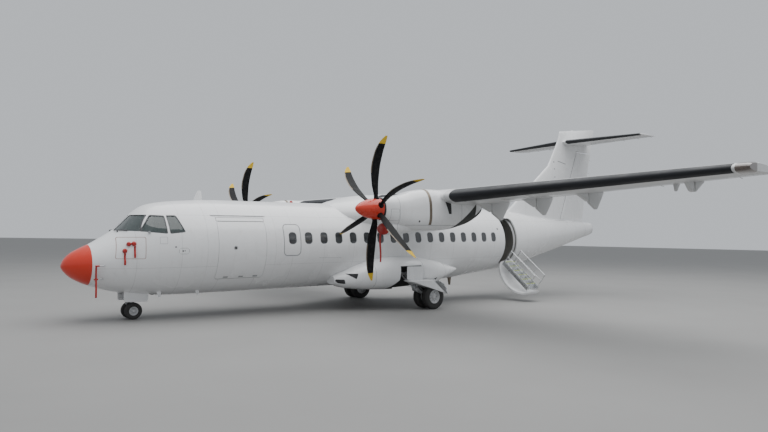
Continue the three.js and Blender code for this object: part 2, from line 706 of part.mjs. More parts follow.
const rudderRoom = loft(
  [RUDDER.low - RUDDER.roomUnder, 2580, 3360, RUDDER.high + RUDDER.roomOver].map((height) => {
    const { hinge, half } = finAt(height);
    const start = hinge - half - CLEARANCE;
    return [[start, 400], [23500, 400], [23500, -400], [start, -400]].map(([x, y]) => point(x, y, height));
  }),
);

// The cap over the tailplane, with the tailplane through it.
const CAP = [
  { low: 4330, lift: 0, edge: 19900, trail: 22570, half: 105 },
  { low: 4640, lift: 60, edge: 20080, trail: 22680, half: 110 },
  { low: 4950, lift: 325, edge: 20160, trail: 22783, half: 60 },
];
const capRings = CAP.map(({ low, lift, edge, trail, half }) => {
  const run = trail - edge;
  const flank = [[1, 5], [0.7, 0.6 * half], [0.35, half], [0.1, 0.75 * half], [0.02, 0.35 * half]];
  const at = (f, y) => point(edge + f * run, y, low + lift * f);
  return [...flank.map(([f, y]) => at(f, y)), at(0, 0), ...flank.toReversed().map(([f, y]) => at(f, -y))];
});
const TAIL_TIP = 3560;
const ELEVATOR = { from: 175, to: 3465 };
const tailRings = [
  [-TAIL_TIP, 0.4], [-TAIL_TIP + 60, 1], [0, 1], [TAIL_TIP - 60, 1], [TAIL_TIP, 0.4],
].map(([out, squeeze]) => profileRing(tailSurface, Math.sign(out) || 1, Math.abs(out), squeeze));
const elevatorNotches = SIDES.map(({ side }) => notch(tailSurface, side, ELEVATOR.from, ELEVATOR.to));
const capBody = loft(capRings);
const tailplane = union(cutBy(loft(tailRings), ...elevatorNotches), cutBy(capBody, ...elevatorNotches));
place("tailplane", largest(tailplane), WHITE, airframe);

const finBody = loft(FIN.map(finRing));
const finCuts = [hullClear, rudderRoom, loft(capRings, GAP * 2), loft(tailRings, GAP * 2)];
place("fin", largest(cutBy(finBody, ...finCuts)), WHITE, airframe);

const rudderFoot = finAt(RUDDER.low);
const rudderPivot = pivot("rudder_hinge", airframe, point(rudderFoot.hinge, 0, RUDDER.low));
const rudderRings = [RUDDER.low, 2580, 3360, RUDDER.high].map((height) => rudderRing(finAt(height)));
place("rudder", cutBy(loft(rudderRings), hullClear), WHITE, rudderPivot);

for (const { side, name } of SIDES) {
  const row = stationAt(TAILPLANE, ELEVATOR.from);
  const at = onProfile(tailSurface, row, side, tailSurface.hinge, 0);
  const hinge = pivot(`elevator_${name}_hinge`, airframe, at);
  place(`elevator_${name}`, movingPart(tailSurface, side, ELEVATOR), WHITE, hinge);
}

// Engines: cowling with its chin intake, the engine block in its bay, spinner and propeller

const COWL_POWER = 0.75;
const COWL = [
  { station: 7000, bottom: 735, top: 1340, half: 298, widest: 1030 },
  { station: 7190, bottom: 655, top: 1370, half: 345, widest: 1000 },
  { station: 7380, bottom: 590, top: 1400, half: 390, widest: 970 },
  { station: 7700, bottom: 500, top: 1465, half: 440, widest: 950 },
  { station: 8000, bottom: 445, top: 1560, half: 460, widest: 940 },
  { station: 8600, bottom: 440, top: 1632, half: 470, widest: 940 },
  { station: 9200, bottom: 475, top: 1625, half: 470, widest: 950 },
  { station: 9980, bottom: 640, top: 1560, half: 430, widest: 1030 },
  { station: 10400, bottom: 820, top: 1480, half: 350, widest: 1100 },
  { station: 10650, bottom: 970, top: 1420, half: 250, widest: 1160 },
  { station: 10760, bottom: 1110, top: 1380, half: 150, widest: 1210 },
];
const CHIN = [
  { station: 7130, bottom: 365, top: 650, half: 235, widest: 505 },
  { station: 7300, bottom: 350, top: 740, half: 262, widest: 540 },
  { station: 8300, bottom: 430, top: 900, half: 300, widest: 660 },
];
const INTAKE = { station: 7120, bottom: 400, top: 615, half: 195, widest: 507 };
const INTAKE_DEPTH = 130;
const BAY = { from: 7300, to: 9300, roof: 1110 };
const ENGINE = { from: 7650, to: 9280, half: 230, low: 700, high: 1090 };
const SHAFT = 75;
const SPINNER = { aft: 95, length: 745, radius: 285, wall: 14 };
// Blade sections: distance from the shaft, chord, how far the section is set aft and how far it leans
// round the disc, thickness, pitch.
const BLADE = [
  { radius: 120, chord: 104, aft: 0, lean: 0, thick: 96, pitch: 92 },
  { radius: 330, chord: 150, aft: 0, lean: 30, thick: 74, pitch: 100 },
  { radius: 660, chord: 240, aft: -50, lean: 65, thick: 42, pitch: 96 },
  { radius: 1080, chord: 285, aft: -75, lean: 83, thick: 25, pitch: 90 },
  { radius: 1480, chord: 262, aft: -35, lean: 68, thick: 17, pitch: 85 },
  { radius: 1800, chord: 185, aft: 50, lean: 30, thick: 12, pitch: 82 },
  { radius: PROPELLER_RADIUS, chord: 60, aft: 125, lean: 0, thick: 6, pitch: 80 },
];
const BLADE_RING = [[0.5, 0], [0.25, 0.4], [-0.1, 0.5], [-0.42, 0.3], [-0.5, 0]];

function bladeRing({ radius, chord, aft, lean, thick, pitch }) {
  const turn = THREE.MathUtils.degToRad(pitch - 90);
  const upper = BLADE_RING.map(([c, t]) => [c * chord, t * thick]);
  const lower = upper.slice(1, -1).toReversed().map(([c, t]) => [c, -t]);
  return [...upper, ...lower].map(([c, t]) =>
    point(
      aft + c * Math.cos(turn) - t * Math.sin(turn),
      lean + c * Math.sin(turn) + t * Math.cos(turn),
      radius,
    ),
  );
}

const turnedAboutShaft = (p, angle) => p.clone().applyAxisAngle(point(1, 0, 0), -angle);

for (const { side, name } of SIDES) {
  const across = side * PROPELLER_OUT;
  const hub = point(PROPELLER_STATION, across, PROPELLER_HEIGHT);
  const shaped = (section) => ({ ...section, across, power: COWL_POWER });
  const cowlRing = (section, inset, sides) => hullRing(shaped(section), inset, sides);
  const bayRings = COWL.map((section) => cowlRing(section, WALL, BAY_SIDES));
  const bay = loft(bayRings).intersect(block(BAY.from, BAY.to, -FAR, FAR, -FAR, BAY.roof));
  const shaftHole = rod(point(6900, across, hub.z), point(BAY.from + 100, across, hub.z), SHAFT + 20, 16);
  const mouth = loft([0, INTAKE_DEPTH].map((deep) =>
    hullRing({ ...INTAKE, station: INTAKE.station + deep, across }, 0, 12)));
  const outside = union(
    loft(COWL.map((section) => cowlRing(section, 0, COWL_SIDES))),
    loft(CHIN.map((section) => hullRing({ ...section, across }, 0, COWL_SIDES))),
  );
  const cowling = cutBy(outside, wingClear, bay, shaftHole, mouth);
  place(`nacelle_${name}`, largest(cowling), WHITE, airframe);

  const engine = block(
    ENGINE.from, ENGINE.to, across - ENGINE.half, across + ENGINE.half, ENGINE.low, ENGINE.high,
  );
  place(`engine_${name}`, engine, METAL, airframe);

  const shaft = pivot(`propeller_${name}_shaft`, airframe, hub);
  const base = hub.x + SPINNER.aft;
  const shellOf = (radius, length, start, shares, sides) => {
    const profile = shares.map((share) => [radius * (1 - share ** 2) ** 0.62, share * length]);
    return turned([[0, 0], ...profile, [0, length]], point(start, across, hub.z), point(-1, 0, 0), sides);
  };
  const angles = Array.from({ length: BLADES }, (_, i) => FIRST_BLADE + (2 * Math.PI * i) / BLADES);
  const sockets = angles.map((angle) => {
    const tip = turnedAboutShaft(point(0, 0, 420), angle).add(hub);
    return rod(hub, tip, 88, 8);
  });
  const cover = shellOf(SPINNER.radius, SPINNER.length, base, [0, 0.3, 0.55, 0.75, 0.9, 0.98], SPINNER_SIDES)
    .subtract(shellOf(SPINNER.radius - SPINNER.wall, SPINNER.length - 60, base + 1, [0, 0.5, 0.8], 12));
  const plateEnds = [point(base - 12, across, hub.z), point(base, across, hub.z)];
  const plate = rod(...plateEnds, SPINNER.radius - 2, SPINNER_SIDES);
  const bore = rod(point(base - 40, across, hub.z), point(base + 40, across, hub.z), SHAFT + GAP, 16);
  place(`spinner_${name}`, largest(cutBy(union(cover, plate), bore, ...sockets)), RED, shaft);

  const blades = angles.map((angle) =>
    loft(BLADE.map((section) => bladeRing(section).map((p) => turnedAboutShaft(p, angle).add(hub)))),
  );
  const hubBody = union(
    rod(point(hub.x - 150, across, hub.z), point(hub.x + 70, across, hub.z), 170, 16),
    rod(point(hub.x, across, hub.z), point(BAY.from - 20, across, hub.z), SHAFT, 16),
  );
  place(`propeller_${name}`, union(hubBody, ...blades), BLACK, shaft);
}

// Main gear fairings on the lower sides of the cabin: columns are station, bottom, top, inner and outer side

const SPONSON = [
  { station: 7400, bottom: -1210, top: -960, inner: 750, outer: 1190 },
  { station: 7700, bottom: -1320, top: -830, inner: 550, outer: 1400 },
  { station: 8100, bottom: -1385, top: -650, inner: 400, outer: 1640 },
  { station: 8700, bottom: -1430, top: -470, inner: 350, outer: 1860 },
  { station: 9400, bottom: -1450, top: -395, inner: 350, outer: 1950 },
  { station: 10300, bottom: -1430, top: -410, inner: 350, outer: 1930 },
  { station: 11300, bottom: -1320, top: -540, inner: 400, outer: 1760 },
  { station: 12000, bottom: -1120, top: -720, inner: 600, outer: 1540 },
  { station: 12400, bottom: -960, top: -830, inner: 900, outer: 1380 },
];
const WHEEL_BAY = { from: 9450, to: 11150, inner: 1000, outer: 1760, roof: -900 };
// The opening that the leg stands in, seen from the side: a wedge at its front foot, then straight up.
const LEG_SLOT = [[9050, -FAR], [9050, -1430], [9400, -1120], [9450, -680], [10340, -680], [10340, -FAR]];
const SPONSON_POWER = 0.8;

function sponsonRing({ station, bottom, top, inner, outer }, side, sides = 24) {
  return Array.from({ length: sides }, (_, i) => {
    const angle = (2 * Math.PI * i) / sides;
    const y = (inner + outer) / 2 + ((outer - inner) / 2) * squared(Math.sin(angle), SPONSON_POWER);
    const z = (bottom + top) / 2 + ((top - bottom) / 2) * squared(Math.cos(angle), SPONSON_POWER);
    return point(station, side * y, z);
  });
}

for (const { side, name } of SIDES) {
  const across = (a, b) => [side * a, side * b].sort((p, q) => p - q);
  const well = block(
    WHEEL_BAY.from, WHEEL_BAY.to, ...across(WHEEL_BAY.inner, WHEEL_BAY.outer), -FAR, WHEEL_BAY.roof,
  );
  const slot = sidePrism(outlineOf(LEG_SLOT), ...across(WHEEL_BAY.outer - 300, 2300));
  const body = loft(SPONSON.map((section) => sponsonRing(section, side)));
  place(`sponson_${name}`, largest(cutBy(body, hullClear, well, slot)), WHITE, airframe);
}

// Wheels: a tyre of round shoulders, and hubs joined by the axle that they turn with

const flatRadius = (radius) => radius * Math.cos(Math.PI / TYRE_SIDES);

function tyre({ radius, width, rim }, centre) {
  const half = width / 2;
  const shoulder = 0.3 * width;
  const profile = [
    [rim + 2, -half + 18], [radius - shoulder * 1.1, -half], [radius, -half + shoulder],
    [radius, half - shoulder], [radius - shoulder * 1.1, half], [rim + 2, half - 18], [rim + 2, -half + 18],
  ];
  const sideways = point(0, 1, 0);
  const body = turned(profile, point(0, 0, 0), sideways, TYRE_SIDES);
  const geometry = geometryOf(body).rotateY(Math.PI / TYRE_SIDES).translate(centre.x, centre.y, centre.z);
  return solid(geometry);
}

function wheelHub({ width, rim }, centre, outward) {
  const half = width / 2;
  const profile = [
    [0, -half + 24], [rim, -half + 24], [rim, half - 16], [rim - 40, half - 60], [80, half - 60],
    [64, half - 20], [0, half - 20],
  ];
  return turned(profile, centre, point(0, outward, 0), HUB_SIDES);
}

const mainAxleHeight = flatRadius(MAIN_TYRE.radius);
const AXLE = 40;
const LEG_TOP = NOSE_AXIS_HEIGHT + NOSE_DOWN * 9640 + WHEEL_BAY.roof - GAP;

for (const { side, name } of SIDES) {
  const middle = point(MAIN_AXLE_STATION, (side * MAIN_TRACK) / 2, mainAxleHeight);
  const wheels = pivot(`main_wheels_${name}_axle`, ground, middle);
  const pair = [{ piece: "outer", way: side }, { piece: "inner", way: -side }];
  const hubs = pair.map(({ piece, way }) => {
    const centre = middle.clone().add(point(0, (way * MAIN_PAIR) / 2, 0));
    place(`main_tyre_${piece}_${name}`, tyre(MAIN_TYRE, centre), RUBBER, wheels);
    return wheelHub(MAIN_TYRE, centre, way);
  });
  const reach = point(0, MAIN_PAIR / 2, 0);
  const axle = rod(middle.clone().sub(reach), middle.clone().add(reach), AXLE, 12);
  place(`main_hubs_${name}`, union(...hubs, axle), METAL, wheels);

  // Leg: a strut from the bay roof, a trailing arm to the axle and the shock strut above it
  const inward = (x, out, z) => point(x, side * out, z);
  const knee = inward(9990, 2020, 640);
  const top = inward(9930, 1560, 1150);
  const shock = [inward(10080, 1600, 1140), inward(10160, 2035, 560)];
  const boss = point(0, 62, 0);
  const leg = union(
    rod(top, knee, 62, 8),
    rod(knee, middle, 52, 8),
    rod(...shock, 42, 8),
    rod(inward(9700, 1560, 1130), knee, 30, 6),
    block(9640, 10280, ...[side * 1420, side * 1680].sort((a, b) => a - b), 1090, LEG_TOP),
    rod(middle.clone().sub(boss), middle.clone().add(boss), 82, 12),
  );
  const bore = rod(middle.clone().sub(reach), middle.clone().add(reach), AXLE + 6, 12);
  place(`main_leg_${name}`, leg.subtract(bore), METAL, ground);

  // Doors on the leg: a flat panel over the slot and a curved one over the wheels
  const arcPoint = (radius, degrees) => {
    const angle = THREE.MathUtils.degToRad(degrees);
    return [middle.x + radius * Math.cos(angle), middle.z + radius * Math.sin(angle)];
  };
  const outerArc = [8, 30, 52, 74, 95].map((degrees) => arcPoint(565, degrees));
  const innerArc = [95, 74, 52, 30, 8].map((degrees) => arcPoint(540, degrees));
  const archOutline = outlineOf([...outerArc, [9600, 930], [9600, 905], ...innerArc]);
  const arch = sidePrism(archOutline, ...[side * 1895, side * 2400].sort((a, b) => a - b));
  const flat = sidePrism(
    outlineOf([[9640, 960], [10290, 860], [10330, 1380], [9640, 1380]]),
    ...[side * 2010, side * 2035].sort((a, b) => a - b),
  );
  const stays = [
    rod(inward(10000, 1800, 925), inward(10000, 2015, 1000), 20, 8),
    rod(inward(10050, 1960, 700), inward(10120, 2060, 950), 22, 8),
  ];
  const legClear = [rod(top, knee, 64, 8), rod(...shock, 44, 8)];
  place(`main_gear_door_${name}`, largest(cutBy(union(arch, flat, ...stays), ...legClear)), WHITE, ground);
}

// Nose gear: fixed leg in its bay, and a steered fork that carries twin wheels

const noseAxleHeight = flatRadius(NOSE_TYRE.radius);
const noseMiddle = point(NOSE_AXLE_STATION, 0, noseAxleHeight);
const COLLAR = 600;
const bayRoof = NOSE_AXIS_HEIGHT + NOSE_DOWN * NOSE_AXLE_STATION + NOSE_BAY.roof;
const noseLeg = union(
  rod(point(NOSE_AXLE_STATION, 0, COLLAR + 10), point(NOSE_AXLE_STATION, 0, bayRoof - 4), 62, 16),
  rod(point(NOSE_AXLE_STATION, 0, 760), point(NOSE_BAY.from + 60, 0, bayRoof - 60), 30, 10),
);
place("nose_leg", noseLeg, METAL, ground);

const steering = pivot("nose_steering", ground, point(NOSE_AXLE_STATION, 0, COLLAR));
const sleeve = point(0, 50, 0);
const fork = union(
  rod(point(NOSE_AXLE_STATION, 0, noseAxleHeight), point(NOSE_AXLE_STATION, 0, COLLAR), 42, 16),
  rod(point(NOSE_AXLE_STATION, 0, COLLAR - 70), point(NOSE_AXLE_STATION, 0, COLLAR), 70, 16),
  rod(noseMiddle.clone().sub(sleeve), noseMiddle.clone().add(sleeve), 55, 16),
);
const noseReach = point(0, NOSE_PAIR / 2, 0);
const NOSE_AXLE = 24;
const noseBore = rod(noseMiddle.clone().sub(noseReach), noseMiddle.clone().add(noseReach), NOSE_AXLE + 4, 16);
place("nose_fork", fork.subtract(noseBore), METAL, steering);

const noseWheels = new THREE.Group();
noseWheels.name = "nose_wheels_axle";
noseWheels.position.set(0, 0, noseAxleHeight - COLLAR);
noseWheels.userData.drawnAt = [-noseMiddle.x, -noseMiddle.y, -noseMiddle.z];
steering.add(noseWheels);
const noseHubs = SIDES.map(({ side, name }) => {
  const centre = noseMiddle.clone().add(point(0, (side * NOSE_PAIR) / 2, 0));
  place(`nose_tyre_${name}`, tyre(NOSE_TYRE, centre), RUBBER, noseWheels);
  const half = NOSE_TYRE.width / 2;
  const { rim } = NOSE_TYRE;
  const profile = [
    [0, -half + 20], [rim, -half + 20], [rim, half - 12], [rim - 26, half - 38], [44, half - 38],
    [34, half - 12], [0, half - 12],
  ];
  return turned(profile, centre, point(0, side, 0), HUB_SIDES);
});
const noseAxle = rod(noseMiddle.clone().sub(noseReach), noseMiddle.clone().add(noseReach), NOSE_AXLE, 16);
place("nose_hubs", union(...noseHubs, noseAxle), METAL, noseWheels);

for (const { side, name } of SIDES) {
  const outer = side * (NOSE_BAY.half - 2);
  const inner = side * (NOSE_BAY.half - 22);
  const door = sidePrism(
    outlineOf([[1470, 480], [2080, 470], [2100, 800], [1460, 800]]),
    ...[outer, inner].sort((a, b) => a - b),
  );
  place(`nose_gear_door_${name}`, door, WHITE, ground);
}

export default airliner;
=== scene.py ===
# %% [markdown]
# # A parked turboprop airliner
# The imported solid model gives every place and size. This script dresses it: smooth skins, windows,
# panel lines, tyres, hinges and finishes take the place of the plain solids.
# Every object is in metres, with the nose towards -X, the port side towards -Y and the ground at Z = 0.

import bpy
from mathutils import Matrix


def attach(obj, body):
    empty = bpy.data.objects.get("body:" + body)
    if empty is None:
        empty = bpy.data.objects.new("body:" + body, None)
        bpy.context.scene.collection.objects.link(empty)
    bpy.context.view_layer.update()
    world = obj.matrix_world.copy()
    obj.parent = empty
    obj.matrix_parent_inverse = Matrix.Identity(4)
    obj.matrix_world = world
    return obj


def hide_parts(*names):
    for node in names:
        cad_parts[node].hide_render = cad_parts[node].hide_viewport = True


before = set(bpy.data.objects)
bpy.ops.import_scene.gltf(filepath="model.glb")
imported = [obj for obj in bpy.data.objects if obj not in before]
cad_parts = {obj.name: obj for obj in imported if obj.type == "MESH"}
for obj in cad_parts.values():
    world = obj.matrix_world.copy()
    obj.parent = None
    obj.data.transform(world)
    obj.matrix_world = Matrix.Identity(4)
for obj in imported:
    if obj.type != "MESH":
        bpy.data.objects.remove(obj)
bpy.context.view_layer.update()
print("nodes in the packed model:", len(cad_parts))

# %% [markdown]
# ## Camera
# A camera is a place, a direction and a focal length. Here they come from a fit: the known length,
# wheelbase and propeller of such an aircraft were projected until they met the photograph.
# The camera stands ahead of the wing on the port side, at the height of a tall person's eyes,
# and is tilted by a degree, as a camera held by hand is.

# %% Camera
import math

import bpy
from mathutils import Matrix, Vector

EYE = Vector((-14.313, -17.32, 2.27))
YAW = math.radians(37.26)
PITCH = math.radians(2.06)
ROLL = math.radians(0.99)
FOCAL_PIXELS = 617.8
PHOTO_WIDE = 768
SENSOR = 36
CLIP_FAR = 600

ahead = Vector((math.sin(YAW) * math.cos(PITCH), math.cos(YAW) * math.cos(PITCH), math.sin(PITCH)))
level_right = ahead.cross(Vector((0, 0, 1))).normalized()
level_up = level_right.cross(ahead)
right = math.cos(ROLL) * level_right + math.sin(ROLL) * level_up
up = math.cos(ROLL) * level_up - math.sin(ROLL) * level_right
camera = bpy.data.objects.new("camera", bpy.data.cameras.new("camera"))
bpy.context.scene.collection.objects.link(camera)
camera.data.sensor_width = SENSOR
camera.data.lens = SENSOR * FOCAL_PIXELS / PHOTO_WIDE
camera.data.clip_end = CLIP_FAR
camera.matrix_world = Matrix.Translation(EYE) @ Matrix((right, up, -ahead)).transposed().to_4x4()
bpy.context.scene.camera = camera
print("lens in mm:", round(camera.data.lens, 2))

# %% [markdown]
# ## Floor and light
# Glossy paint shows the sky and the ground that it reflects, so the light is one pale world and one
# very large lamp high above. Together they give the soft, even look of an overcast day.

# %% Floor and light
import bmesh

FLOOR_HALF = 260
LAMP_SIZE = 46
LAMP_AT = (2, -3, 26)
LAMP_POWER = 13000
SKY = (0.86, 0.90, 0.95, 1)
SKY_STRENGTH = 0.70

shape = bmesh.new()
bmesh.ops.create_grid(shape, x_segments=1, y_segments=1, size=FLOOR_HALF)
floor = bpy.data.objects.new("floor", bpy.data.meshes.new("floor"))
shape.to_mesh(floor.data)
bpy.context.scene.collection.objects.link(floor)

lamp = bpy.data.objects.new("lamp", bpy.data.lights.new("lamp", "AREA"))
lamp.data.shape = "DISK"
lamp.data.size = LAMP_SIZE
lamp.data.energy = LAMP_POWER
lamp.location = LAMP_AT
bpy.context.scene.collection.objects.link(lamp)

world = bpy.data.worlds.new("sky")
bpy.context.scene.world = world
world.use_nodes = True
world.node_tree.nodes["Background"].inputs["Color"].default_value = SKY
world.node_tree.nodes["Background"].inputs["Strength"].default_value = SKY_STRENGTH

# %% [markdown]
# ## How a finish is written
# A node tree is a sum written as boxes. `Signal` wraps one output of a node, so that + - * and / add
# the boxes for us, and a pattern reads like the arithmetic that it is.

# %% Signals


class Signal:
    """One output of a shader node, with the arithmetic of a number."""

    def __init__(self, finish, socket):
        self.finish = finish
        self.socket = socket

    def maths(self, how, *others):
        return self.finish.add("Math", {"operation": how}, dict(enumerate((self, *others))))

    def __add__(self, other):
        return self.maths("ADD", other)

    def __sub__(self, other):
        return self.maths("SUBTRACT", other)

    def __mul__(self, other):
        return self.maths("MULTIPLY", other)

    def __truediv__(self, other):
        return self.maths("DIVIDE", other)

    def __rsub__(self, other):
        return (self * -1) + other

    def __gt__(self, other):
        return self.maths("GREATER_THAN", other)

    def __lt__(self, other):
        return self.maths("LESS_THAN", other)

    __radd__ = __add__
    __rmul__ = __mul__


# %% [markdown]
# `Finish` starts from the Principled shader, which is enough for paint, rubber, metal and glass. Its
# `add` makes every other node. Constants go straight on the shader's own sockets, and only colour,
# roughness and bump follow a pattern.

# %% Finishes


class Finish:
    """A material: its shader, the finish slot that its pieces belong to, and nodes as they are named."""

    def __init__(self, name, colour, roughness, metallic=0.0, slot=None, **fixed):
        self.slot = slot
        self.material = bpy.data.materials.new(name)
        self.material.use_nodes = True
        self.tree = self.material.node_tree
        self.shader = self.tree.nodes["Principled BSDF"]
        self.colour = (*colour, 1)
        self.set("Base Color", self.colour)
        self.set("Roughness", roughness)
        self.set("Metallic", metallic)
        for socket, value in fixed.items():
            self.set(socket.replace("_", " "), value)

    def feed(self, socket, value):
        if isinstance(value, Signal):
            self.tree.links.new(value.socket, socket)
        else:
            socket.default_value = value

    def set(self, socket, value):
        self.feed(self.shader.inputs[socket], value)

    def add(self, kind, settings=None, sockets=None, out=0):
        node = self.tree.nodes.new("ShaderNode" + kind)
        for key, value in (settings or {}).items():
            setattr(node, key, value)
        for key, value in (sockets or {}).items():
            self.feed(node.inputs[key], value)
        return Signal(self, node.outputs[out])

    def place(self):
        return self.add("TexCoord", out="Object")

    def airframe_place(self):
        """Object coordinates turned into stations aft, distance across and height above the axis."""
        frame_place = {"Location": (NOSE_AT, 0, AXIS_HEIGHT), "Rotation": (0, -NOSE_DOWN, 0)}
        return self.add("Mapping", {"vector_type": "TEXTURE"}, {"Vector": self.place(), **frame_place})

    def split(self, vector):
        node = self.tree.nodes.new("ShaderNodeSeparateXYZ")
        self.tree.links.new(vector.socket, node.inputs[0])
        return [Signal(self, output) for output in node.outputs]

    def noise(self, vector, scale, detail=3.0, roughness=0.5):
        sockets = {"Vector": vector, "Scale": scale, "Detail": detail, "Roughness": roughness}
        return self.add("TexNoise", {}, sockets)

    def ramp(self, value, low, high, to_low=0.0, to_high=1.0):
        sockets = {"Value": value, "From Min": low, "From Max": high, "To Min": to_low, "To Max": to_high}
        return self.add("MapRange", {"interpolation_type": "SMOOTHSTEP"}, sockets)

    def mix(self, share, first, second):
        return self.add("Mix", {"data_type": "RGBA"}, {0: share, 6: first, 7: second}, out=2)

    def wander(self, dark, light, *pattern):
        """Lets the colour wander between two tones, and gives back the noise that it wanders by."""
        noise = self.noise(self.place(), *pattern)
        self.set("Base Color", self.mix(noise, (*dark, 1), (*light, 1)))
        return noise

    def bump(self, height, strength=0.3, distance=0.01):
        sockets = {"Height": height, "Strength": strength, "Distance": distance}
        self.set("Normal", self.add("Bump", {}, sockets))


# %% [markdown]
# The airframe stands on its wheels about a degree nose down. Everything on it is drawn in its own frame:
# stations aft of the nose tip, distances across, and heights above the cabin's axis. AIRFRAME puts that
# frame in place. The gear is drawn level, with the same stations, from the ground up.

# %% The airframe's own frame
NOSE_AT = -11.343
AXIS_HEIGHT = 1.884
NOSE_DOWN = 0.019
AIRFRAME = Matrix.Translation((NOSE_AT, 0, AXIS_HEIGHT)) @ Matrix.Rotation(-NOSE_DOWN, 4, "Y")
GROUND = Matrix.Translation((NOSE_AT, 0, 0))


def tinted(colour, share):
    """A colour made lighter or darker by a share."""
    return tuple(min(part * share, 1) for part in colour[:3]) + (1,)


# %% [markdown]
# The floor is a plain pale grey, with a faint mottle so that it doesn't look like paper.

# %% Floor finish
floor_finish = Finish("floor_concrete", (0.26, 0.257, 0.25), 0.7)
floor_finish.wander((0.24, 0.237, 0.23), (0.285, 0.282, 0.275), 0.35, 5)
floor.data.materials.append(floor_finish.material)

# %% [markdown]
# ## Paint
# Airframe enamel is smooth, a little uneven over its sheets, and dirty where exhaust and rain run.
# The joints between sheets are thin darker grooves. One function paints them from the distance to
# each joint, in the airframe's own coordinates, so that they stay put on every piece.

# %% Enamel with sheet joints
JOINT_HALF = 0.0035
RIB_JOINT_HALF = 0.006
JOINT_TONE = (0.22, 0.22, 0.22, 1)
JOINT_SHARE = 0.42
DIRT = (0.44, 0.42, 0.38)
WHITE = (0.84, 0.845, 0.85)
WING_GREY = (0.62, 0.625, 0.625)


def near(value, middle):
    """1 within a small distance of one place, and 0 elsewhere."""
    return (value - middle).maths("ABSOLUTE") < JOINT_HALF


def joints_every(value, pitch, start=0.0, half=JOINT_HALF):
    """1 on joints that repeat at an even pitch."""
    share = ((value - start) / pitch).maths("FRACT")
    return (share - 0.5).maths("ABSOLUTE") > 0.5 - half / pitch


def enamel(name, colour, roughness=0.24, along=0.0, around=(), start=0.0, grime=0.25, coat=0.35, ribs=0.0,
           slot="white_paint"):
    """Gloss paint with joints at a pitch along or across the airframe and at given heights, and dirt."""
    finish = Finish(name, colour, roughness, slot=slot, Coat_Weight=coat, Coat_Roughness=0.08)
    place = finish.airframe_place()
    aft, across, high = finish.split(place)
    joints = [near(high, height) for height in around]
    if along:
        joints.append(joints_every(aft, along, start))
    if ribs:
        joints.append(joints_every(across, ribs, half=RIB_JOINT_HALF))
    lines = None
    for joint in joints:
        lines = joint if lines is None else lines.maths("MAXIMUM", joint)
    sheet = finish.noise(place, 0.9, 4)
    streak_place = finish.add("Mapping", {}, {"Vector": place, "Scale": (7, 7, 0.7)})
    streak = finish.ramp(finish.noise(streak_place, 1.2, 6, 0.62), 0.52, 0.82)
    speckle = finish.ramp(finish.noise(place, 34, 4, 0.7), 0.62, 0.8)
    colour_now = finish.mix(sheet, tinted(colour, 0.955), tinted(colour, 1.03))
    dirt = (streak * 0.6 + speckle * 0.4) * grime
    colour_now = finish.mix(dirt, colour_now, tinted(DIRT, 0.8))
    if lines is not None:
        colour_now = finish.mix(lines * JOINT_SHARE, colour_now, JOINT_TONE)
    finish.set("Base Color", colour_now)
    gloss = finish.ramp(sheet, 0.3, 0.7, roughness * 0.85, roughness * 1.25)
    finish.set("Roughness", gloss + dirt * 0.25)
    wave = finish.noise(place, 2.3, 2) * 0.35
    finish.bump(wave if lines is None else wave - lines * 0.5, 0.12, 0.01)
    return finish


skin_white = enamel("fuselage_white", WHITE, along=1.072, start=0.49, around=(-0.52, 0.86))
door_white = enamel("door_white", WHITE, grime=0.3)
wing_grey = enamel("wing_grey", WING_GREY, 0.3, grime=0.45, ribs=1.54)
nacelle_white = enamel("nacelle_white", WHITE, grime=0.35)

# %% [markdown]
# ## Bodies through stations
# An aircraft's skin is drawn as a row of cross-sections along its length. `eased` reads any table of
# sections at any place, on a curve that goes through the rows and never overshoots them.

# %% Tables of sections
from bisect import bisect_right
from collections import namedtuple

Section = namedtuple("Section", "station bottom top half widest across power", defaults=(0.0, 1.0))


def eased(rows, at):
    """The row at one place, on a smooth curve through a table whose first column is the place."""
    last = len(rows) - 1
    i = min(max(bisect_right([row[0] for row in rows], at) - 1, 0), last - 1)
    run = rows[i + 1][0] - rows[i][0]
    t = (at - rows[i][0]) / run

    def steep(j, key):
        return (rows[j + 1][key] - rows[j][key]) / (rows[j + 1][0] - rows[j][0])

    def tangent(j, key):
        before = steep(max(j - 1, 0), key)
        after = steep(min(j, last - 1), key)
        return 0.0 if before * after <= 0 else 2 * before * after / (before + after)

    def value(key):
        a, b = rows[i][key], rows[i + 1][key]
        ta, tb = tangent(i, key) * run, tangent(i + 1, key) * run
        return a + t * (ta + t * (3 * (b - a) - 2 * ta - tb + t * (ta + tb - 2 * (b - a))))

    values = [at, *(value(key) for key in range(1, len(rows[0])))]
    return type(rows[0])(*values) if hasattr(rows[0], "_fields") else tuple(values)


# %% [markdown]
# A section is a circle whose upper and lower halves are stretched to their own heights, and bridging
# each loop to the next makes the skin. A power below one pushes the circle towards a box, which suits
# a cowling.

# %% Loops and skins
SIDES_ROUND = 96


def circle(shape, sides):
    """A loop of vertices round the unit circle."""
    return bmesh.ops.create_circle(shape, cap_ends=False, radius=1, segments=sides)["verts"]


def edges_of(loop):
    """The edges between the vertices of one loop."""
    inside = set(loop)
    return [e for v in loop for e in v.link_edges if e.verts[0] in inside and e.verts[1] in inside]


def skin_loops(shape, loops):
    """Bridges each loop to the next, and closes the two ends."""
    rings = [list(dict.fromkeys(edges_of(loop))) for loop in loops]
    for a, b in zip(rings, rings[1:]):
        bmesh.ops.bridge_loops(shape, edges=a + b)
    for loop in (loops[0], loops[-1]):
        bmesh.ops.contextual_create(shape, geom=list(dict.fromkeys(edges_of(loop))))
    bmesh.ops.recalc_face_normals(shape, faces=shape.faces)
    return shape


def squared(value, power):
    """A number from -1 to 1 pushed away from 0, which turns a circle towards a box."""
    return math.copysign(abs(value) ** power, value)


